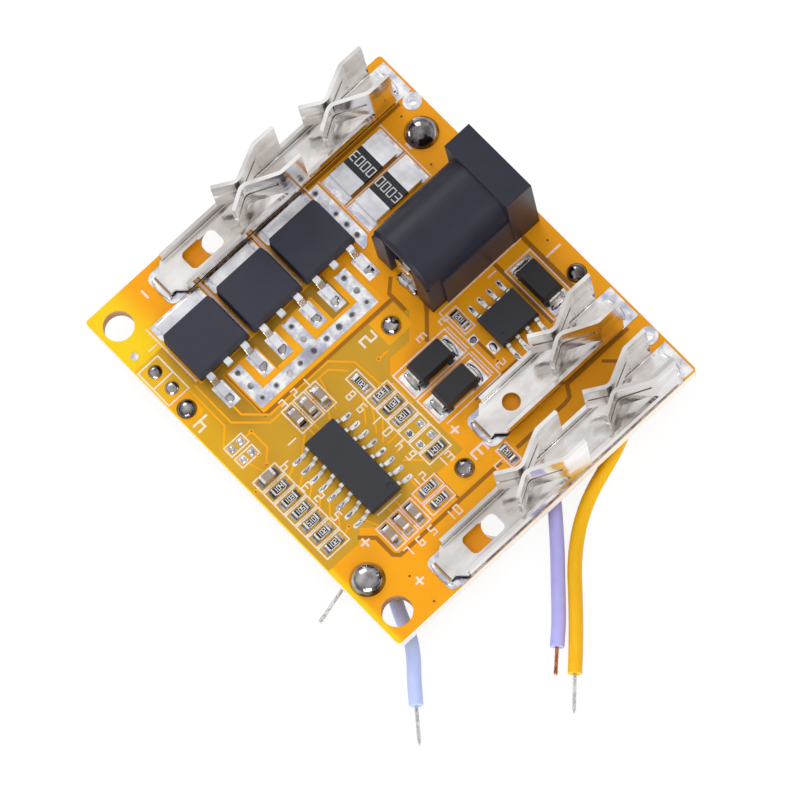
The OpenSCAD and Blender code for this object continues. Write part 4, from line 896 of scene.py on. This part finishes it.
def chip_part(node, kind):
    """Block with plated ends, solder fillets and, on resistors, a glazed top with a plain number."""
    lo, hi = (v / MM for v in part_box(node))
    along = X if hi.x - lo.x > hi.y - lo.y else Y
    mid = (lo + hi) / 2
    half_l, half_w, high = (hi - lo)[along] / 2, (hi - lo)[1 - along] / 2, hi.z - lo.z
    end, foot = PLATED_END[kind], FILLET_FOOT[kind]
    bm = bmesh.new()

    def span(a0, a1, w, z0, z1, mat, bevel=0.0):
        """Box from a0 to a1 along the part and w to either side."""
        p0, p1 = [0, 0, z0], [0, 0, z1]
        p0[along], p1[along] = mid[along] + a0, mid[along] + a1
        p0[1 - along], p1[1 - along] = mid[1 - along] - w, mid[1 - along] + w
        box(bm, p0, p1, mat, bevel)

    if kind == "res":
        span(-half_l + 0.04, half_l - 0.04, half_w - 0.02, lo.z + 0.02, hi.z - 0.05, BODY)
        span(-half_l + end - 0.03, half_l - end + 0.03, half_w - 0.04, hi.z - 0.06, hi.z - 0.005,
            GLAZE, 0.015)
    else:
        span(-half_l + 0.04, half_l - 0.04, half_w - 0.02, lo.z + 0.02, hi.z - 0.02, BODY, 0.04)
    for s in (-1, 1):
        ends = sorted((s * (half_l - end), s * half_l))
        span(ends[0], ends[1], half_w, lo.z, hi.z, PLATED, 0.05)
        # solder fillet from the end face down to its pad
        profile = [(foot * a, high * b) for a, b in FILLET]
        rims = []
        for side in (-1, 1):
            rim = []
            for dx, dz in profile:
                spot = [0, 0, Z_SOLDER + dz]
                spot[along] = mid[along] + s * (half_l - 0.01 + dx)
                spot[1 - along] = mid[1 - along] + side * (half_w - 0.04 + 0.07 * (1 - dz / high))
                rim.append(bm.verts.new(spot))
            rims.append(rim)
        count = len(profile)
        for k in range(count):
            j = (k + 1) % count
            bm.faces.new((rims[0][k], rims[0][j], rims[1][j], rims[1][k])).material_index = SOLDER
        bm.faces.new(rims[0][::-1]).material_index = SOLDER
        bm.faces.new(rims[1]).material_index = SOLDER
        # pad under the end
        ends = sorted((s * (half_l - 0.35), s * (half_l + foot + 0.05)))
        near, far = [0, 0], [0, 0]
        near[along], far[along] = mid[along] + ends[0], mid[along] + ends[1]
        near[1 - along] = mid[1 - along] - half_w - PAD_MARGIN
        far[1 - along] = mid[1 - along] + half_w + PAD_MARGIN
        prism(bm, pill(*near, *far, 0.1), FOOT, Z_PAD, SOLDER)
    if kind == "res":
        text = rng.choice(["102", "103", "104", "105", "201", "510", "302"])
        turn = 0 if along == X else (90 if node.startswith("res_front") else -90)
        digits(bm, text, mid[0], mid[1], 1.2 * half_w, turn, hi.z - 0.012, hi.z - 0.004, 0.075,
            mat=MARK, gap=0.36)
    bmesh.ops.recalc_face_normals(bm, faces=bm.faces)
    body, slot = ("alumina", "resistors") if kind == "res" else ("ceramic", "capacitors")
    piece = add_piece(node + "_dressed", bm, ["cap_end", body, "glaze", "mark", "solder"])
    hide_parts(node)


for n in sorted(NODES):
    if n.startswith("res_"):
        chip_part(n, "res")
    elif n.startswith("cap_"):
        chip_part(n, "cap")

# shunts: coated middle, plated ends and a plain number; they face opposite ways
COAT_HALF, PLATED_FROM = 1.4, 1.22      # from the shunt's middle
for n in ("shunt_1", "shunt_2"):
    lo, hi = (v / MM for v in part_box(n))
    cx, cy = (lo.x + hi.x) / 2, (lo.y + hi.y) / 2
    bm = bmesh.new()
    coat_lo = (lo.x + 0.05, cy - COAT_HALF, lo.z + 0.03)
    coat_hi = (hi.x - 0.05, cy + COAT_HALF, hi.z - 0.02)
    box(bm, coat_lo, coat_hi, 1, 0.05)
    for s in (-1, 1):
        y0, y1 = sorted((cy + s * PLATED_FROM, cy + s * (hi.y - cy)))
        box(bm, (lo.x, y0, lo.z), (hi.x, y1, hi.z), 0, 0.08)
        y0, y1 = sorted((cy + s * (hi.y - cy - 0.1), cy + s * (hi.y - cy + 0.42)))
        prism(bm, pill(lo.x + 0.02, y0, hi.x - 0.02, y1, 0.1), ZT + 0.01, ZT + 0.10, 0)
    facing = 180 if cx < sum(SHUNTS_X) / 2 else 0
    digits(bm, "0003", cx, cy, 1.02, facing, hi.z - 0.03, hi.z - 0.004, 0.12, mat=2, gap=0.6)
    bmesh.ops.recalc_face_normals(bm, faces=bm.faces)
    o = add_piece(n + "_dressed", bm, ["plate", "shunt_coat", "mark"])
    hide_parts(n)


# --------------------------------------------------- solder on the leads ----
def blob(bm, x, y, rx, ry, h, z0, n=14, rings=5, lump=0.12, mat=0):
    """Low uneven mound of solder."""
    prev = None
    phase = rng.uniform(0, 6)
    for k in range(rings + 1):
        t = k / rings
        shrink, z = math.cos(t * math.pi / 2), math.sin(t * math.pi / 2) * h
        if k == rings:
            top = bm.verts.new((x, y, z0 + h))
            for j in range(n):
                bm.faces.new((prev[j], prev[(j + 1) % n], top)).material_index = mat
            break
        ring = []
        for j in range(n):
            angle = math.tau * j / n
            swell = 1 + lump * math.sin(2 * angle + phase)
            swell += lump * 0.6 * math.sin(3 * angle - phase)
            px = x + rx * shrink * swell * math.cos(angle)
            py = y + ry * shrink * swell * math.sin(angle)
            ring.append(bm.verts.new((px, py, z0 + z)))
        if prev:
            for j in range(n):
                i = (j + 1) % n
                bm.faces.new((prev[j], prev[i], ring[i], ring[j])).material_index = mat
        prev = ring


bm = bmesh.new()
for x, y0, y1 in ((STRIP_X[0], -12.0, 18.4), (STRIP_X[1], -12.0, 18.4), (CHARGE_X, 0.7, 18.4)):
    for y, s in ((y0, -1), (y1, 1)):
        blob(bm, x, y + s * 0.25, 1.45, 0.5, 0.34, ZT + 0.06, n=24, rings=6, lump=0.05, mat=1)
blob(bm, -3.55, 5.75, 1.5, 0.55, 0.42, ZT)
blob(bm, -2.75, 5.7, 0.9, 0.5, 0.62, ZT)
for y in FETS_Y:
    for s in (-1, 1):
        blob(bm, -7.25, y + s * FET_LEAD_Y, 0.55, 0.5, 0.22, Z_SOLDER)
for x in row(CONTROLLER_X, CONTROLLER_LEADS):
    for y in (-8.0, -14.6):
        blob(bm, x, y, 0.17, 0.42, 0.14, Z_SOLDER)
for y in row(GATE_Y, GATE_LEADS):
    for x in (3.05, 9.75):
        blob(bm, x, y, 0.42, 0.17, 0.14, Z_SOLDER)
for x in DIODES_X:
    blob(bm, x, 4.3, 1.15, 0.4, 0.30, Z_SOLDER)
    blob(bm, x, -0.9, 1.15, 0.4, 0.30, Z_SOLDER)
for x, y, w, h in EMPTY:
    blob(bm, x, y, w * 0.42, h * 0.42, 0.13, ZT + 0.04, n=12, rings=4, lump=0.08)
blob(bm, 3.25, 15.05, 0.35, 1.1, 0.30, Z_SOLDER)
blob(bm, 8.5, 15.05, 0.35, 1.1, 0.30, Z_SOLDER)
add_piece("solder_mounds", bm, ["solder", "tin"], smooth=True)

# the formed lug that closes the rear of the jack, in front of the pin's blade
lo, hi = (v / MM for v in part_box("jack_pin"))
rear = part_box("jack_housing")[0].y / MM
LUG_SHOULDER, LUG_TOP, LUG_CUT, LUG_SHEET, LUG_DEPTH = 8.7, 9.3, 0.5, 0.28, 0.65
outline = [(lo.x, ZT), (hi.x, ZT), (hi.x, LUG_SHOULDER), (hi.x - LUG_CUT, LUG_TOP)]
outline += [(lo.x + LUG_CUT, LUG_TOP), (lo.x, LUG_SHOULDER)]
bm = bmesh.new()
prism(bm, outline, 0, LUG_SHEET)
blob(bm, (lo.x + hi.x) / 2, 7.4, 0.75, 0.75, 0.2, LUG_SHEET - 0.01, n=20, lump=0.02)
# drawn flat, then stood up inside the rear opening
for v in bm.verts:
    v.co = Vector((v.co.x, rear + LUG_DEPTH - v.co.z, v.co.y))
bmesh.ops.recalc_face_normals(bm, faces=bm.faces)
add_piece("jack_rear_lug", bm, ["contact"])

# -------------------------------------------------- floor and light ---------
FLOOR_HALF_M = 1.5
FLOOR_DROP_M = 0.00002      # keeps it clear of the wires that lie on it
FLOOR_COLOUR = (0.86, 0.86, 0.87, 1)
FLOOR_WHITE = 1.06          # strength of the white that rays see
FLOOR_WHITE_SHARE = 0.85    # the rest takes the object's shadow
SKY_STRENGTH = 0.88
CLOUD_SCALE, CLOUD_SHARE = 2.2, 0.5
# share of full brightness by height, from the horizon up
SKY = ((0.25, 0.26), (0.42, 0.42), (0.70, 0.78), (0.95, 1.0))
LAMP_TARGET = Vector((0, 0, 0.004))     # metres


def make_floor():
    """White to the camera, in gloss and through things; a share of it takes the shadow."""
    material = bpy.data.materials.new("floor")
    material.use_nodes = True
    nodes = Tree(material.node_tree)
    nodes.tree.nodes.clear()
    rays = nodes.node("ShaderNodeLightPath").outputs
    seen = nodes.math("MAXIMUM", rays["Is Camera Ray"], rays["Is Glossy Ray"])
    seen = nodes.math("MAXIMUM", seen, rays["Is Transmission Ray"])
    share = nodes.math("MULTIPLY", seen, FLOOR_WHITE_SHARE)
    shaded = nodes.node("ShaderNodeBsdfDiffuse", Color=FLOOR_COLOUR)
    white = nodes.node("ShaderNodeEmission", Color=(1, 1, 1, 1), Strength=FLOOR_WHITE)
    blend = nodes.node("ShaderNodeMixShader")
    for socket, value in zip(blend.inputs, (share, shaded.outputs[0], white.outputs[0])):
        nodes.feed(socket, value)
    nodes.node("ShaderNodeOutputMaterial", Surface=blend.outputs[0])
    return material


floor_mesh = bpy.data.meshes.new("floor")
bm = bmesh.new()
bmesh.ops.create_grid(bm, x_segments=1, y_segments=1, size=FLOOR_HALF_M)
bm.to_mesh(floor_mesh)
bm.free()
floor_mesh.materials.append(make_floor())
floor = bpy.data.objects.new("floor", floor_mesh)
floor.location.z = -FLOOR_DROP_M
scene.collection.objects.link(floor)


def area(name, place, size, power):
    """Soft lamp; place and size in metres, power in watts."""
    lamp = bpy.data.lights.new(name, "AREA")
    lamp.shape = "RECTANGLE"
    lamp.size, lamp.size_y = size
    lamp.energy = power
    piece = bpy.data.objects.new(name, lamp)
    piece.location = place
    piece.rotation_euler = (LAMP_TARGET - Vector(place)).to_track_quat("-Z", "Y").to_euler()
    scene.collection.objects.link(piece)


area("key", (-0.62, 0.18, 0.48), (0.5, 0.35), 1.8)
area("fill", (0.50, -0.46, 0.15), (0.5, 0.2), 2.5)


def make_sky():
    """Grey sky, brighter overhead and a little cloudy, for the metal to mirror."""
    world = bpy.data.worlds.new("studio")
    world.use_nodes = True
    nodes = Tree(world.node_tree)
    background = nodes.tree.nodes["Background"]
    background.inputs["Strength"].default_value = SKY_STRENGTH
    place = nodes.node("ShaderNodeTexCoord").outputs["Generated"]
    height = nodes.node("ShaderNodeSeparateXYZ", Vector=place).outputs["Z"]
    cloud = nodes.node("ShaderNodeTexNoise", Vector=place, Scale=CLOUD_SCALE, Detail=1.0)
    lifted = nodes.math("MULTIPLY_ADD", cloud.outputs["Fac"], CLOUD_SHARE, height)
    ramp = nodes.node("ShaderNodeValToRGB", Fac=lifted)
    stops = ramp.color_ramp.elements
    for k, (position, grey) in enumerate(SKY):
        stop = stops[k] if k < 2 else stops.new(position)
        stop.position = position
        stop.color = (grey, grey, grey, 1)
    nodes.feed(background.inputs["Color"], ramp.outputs["Color"])
    return world


scene.world = make_sky()
scene.view_settings.view_transform = "Standard"
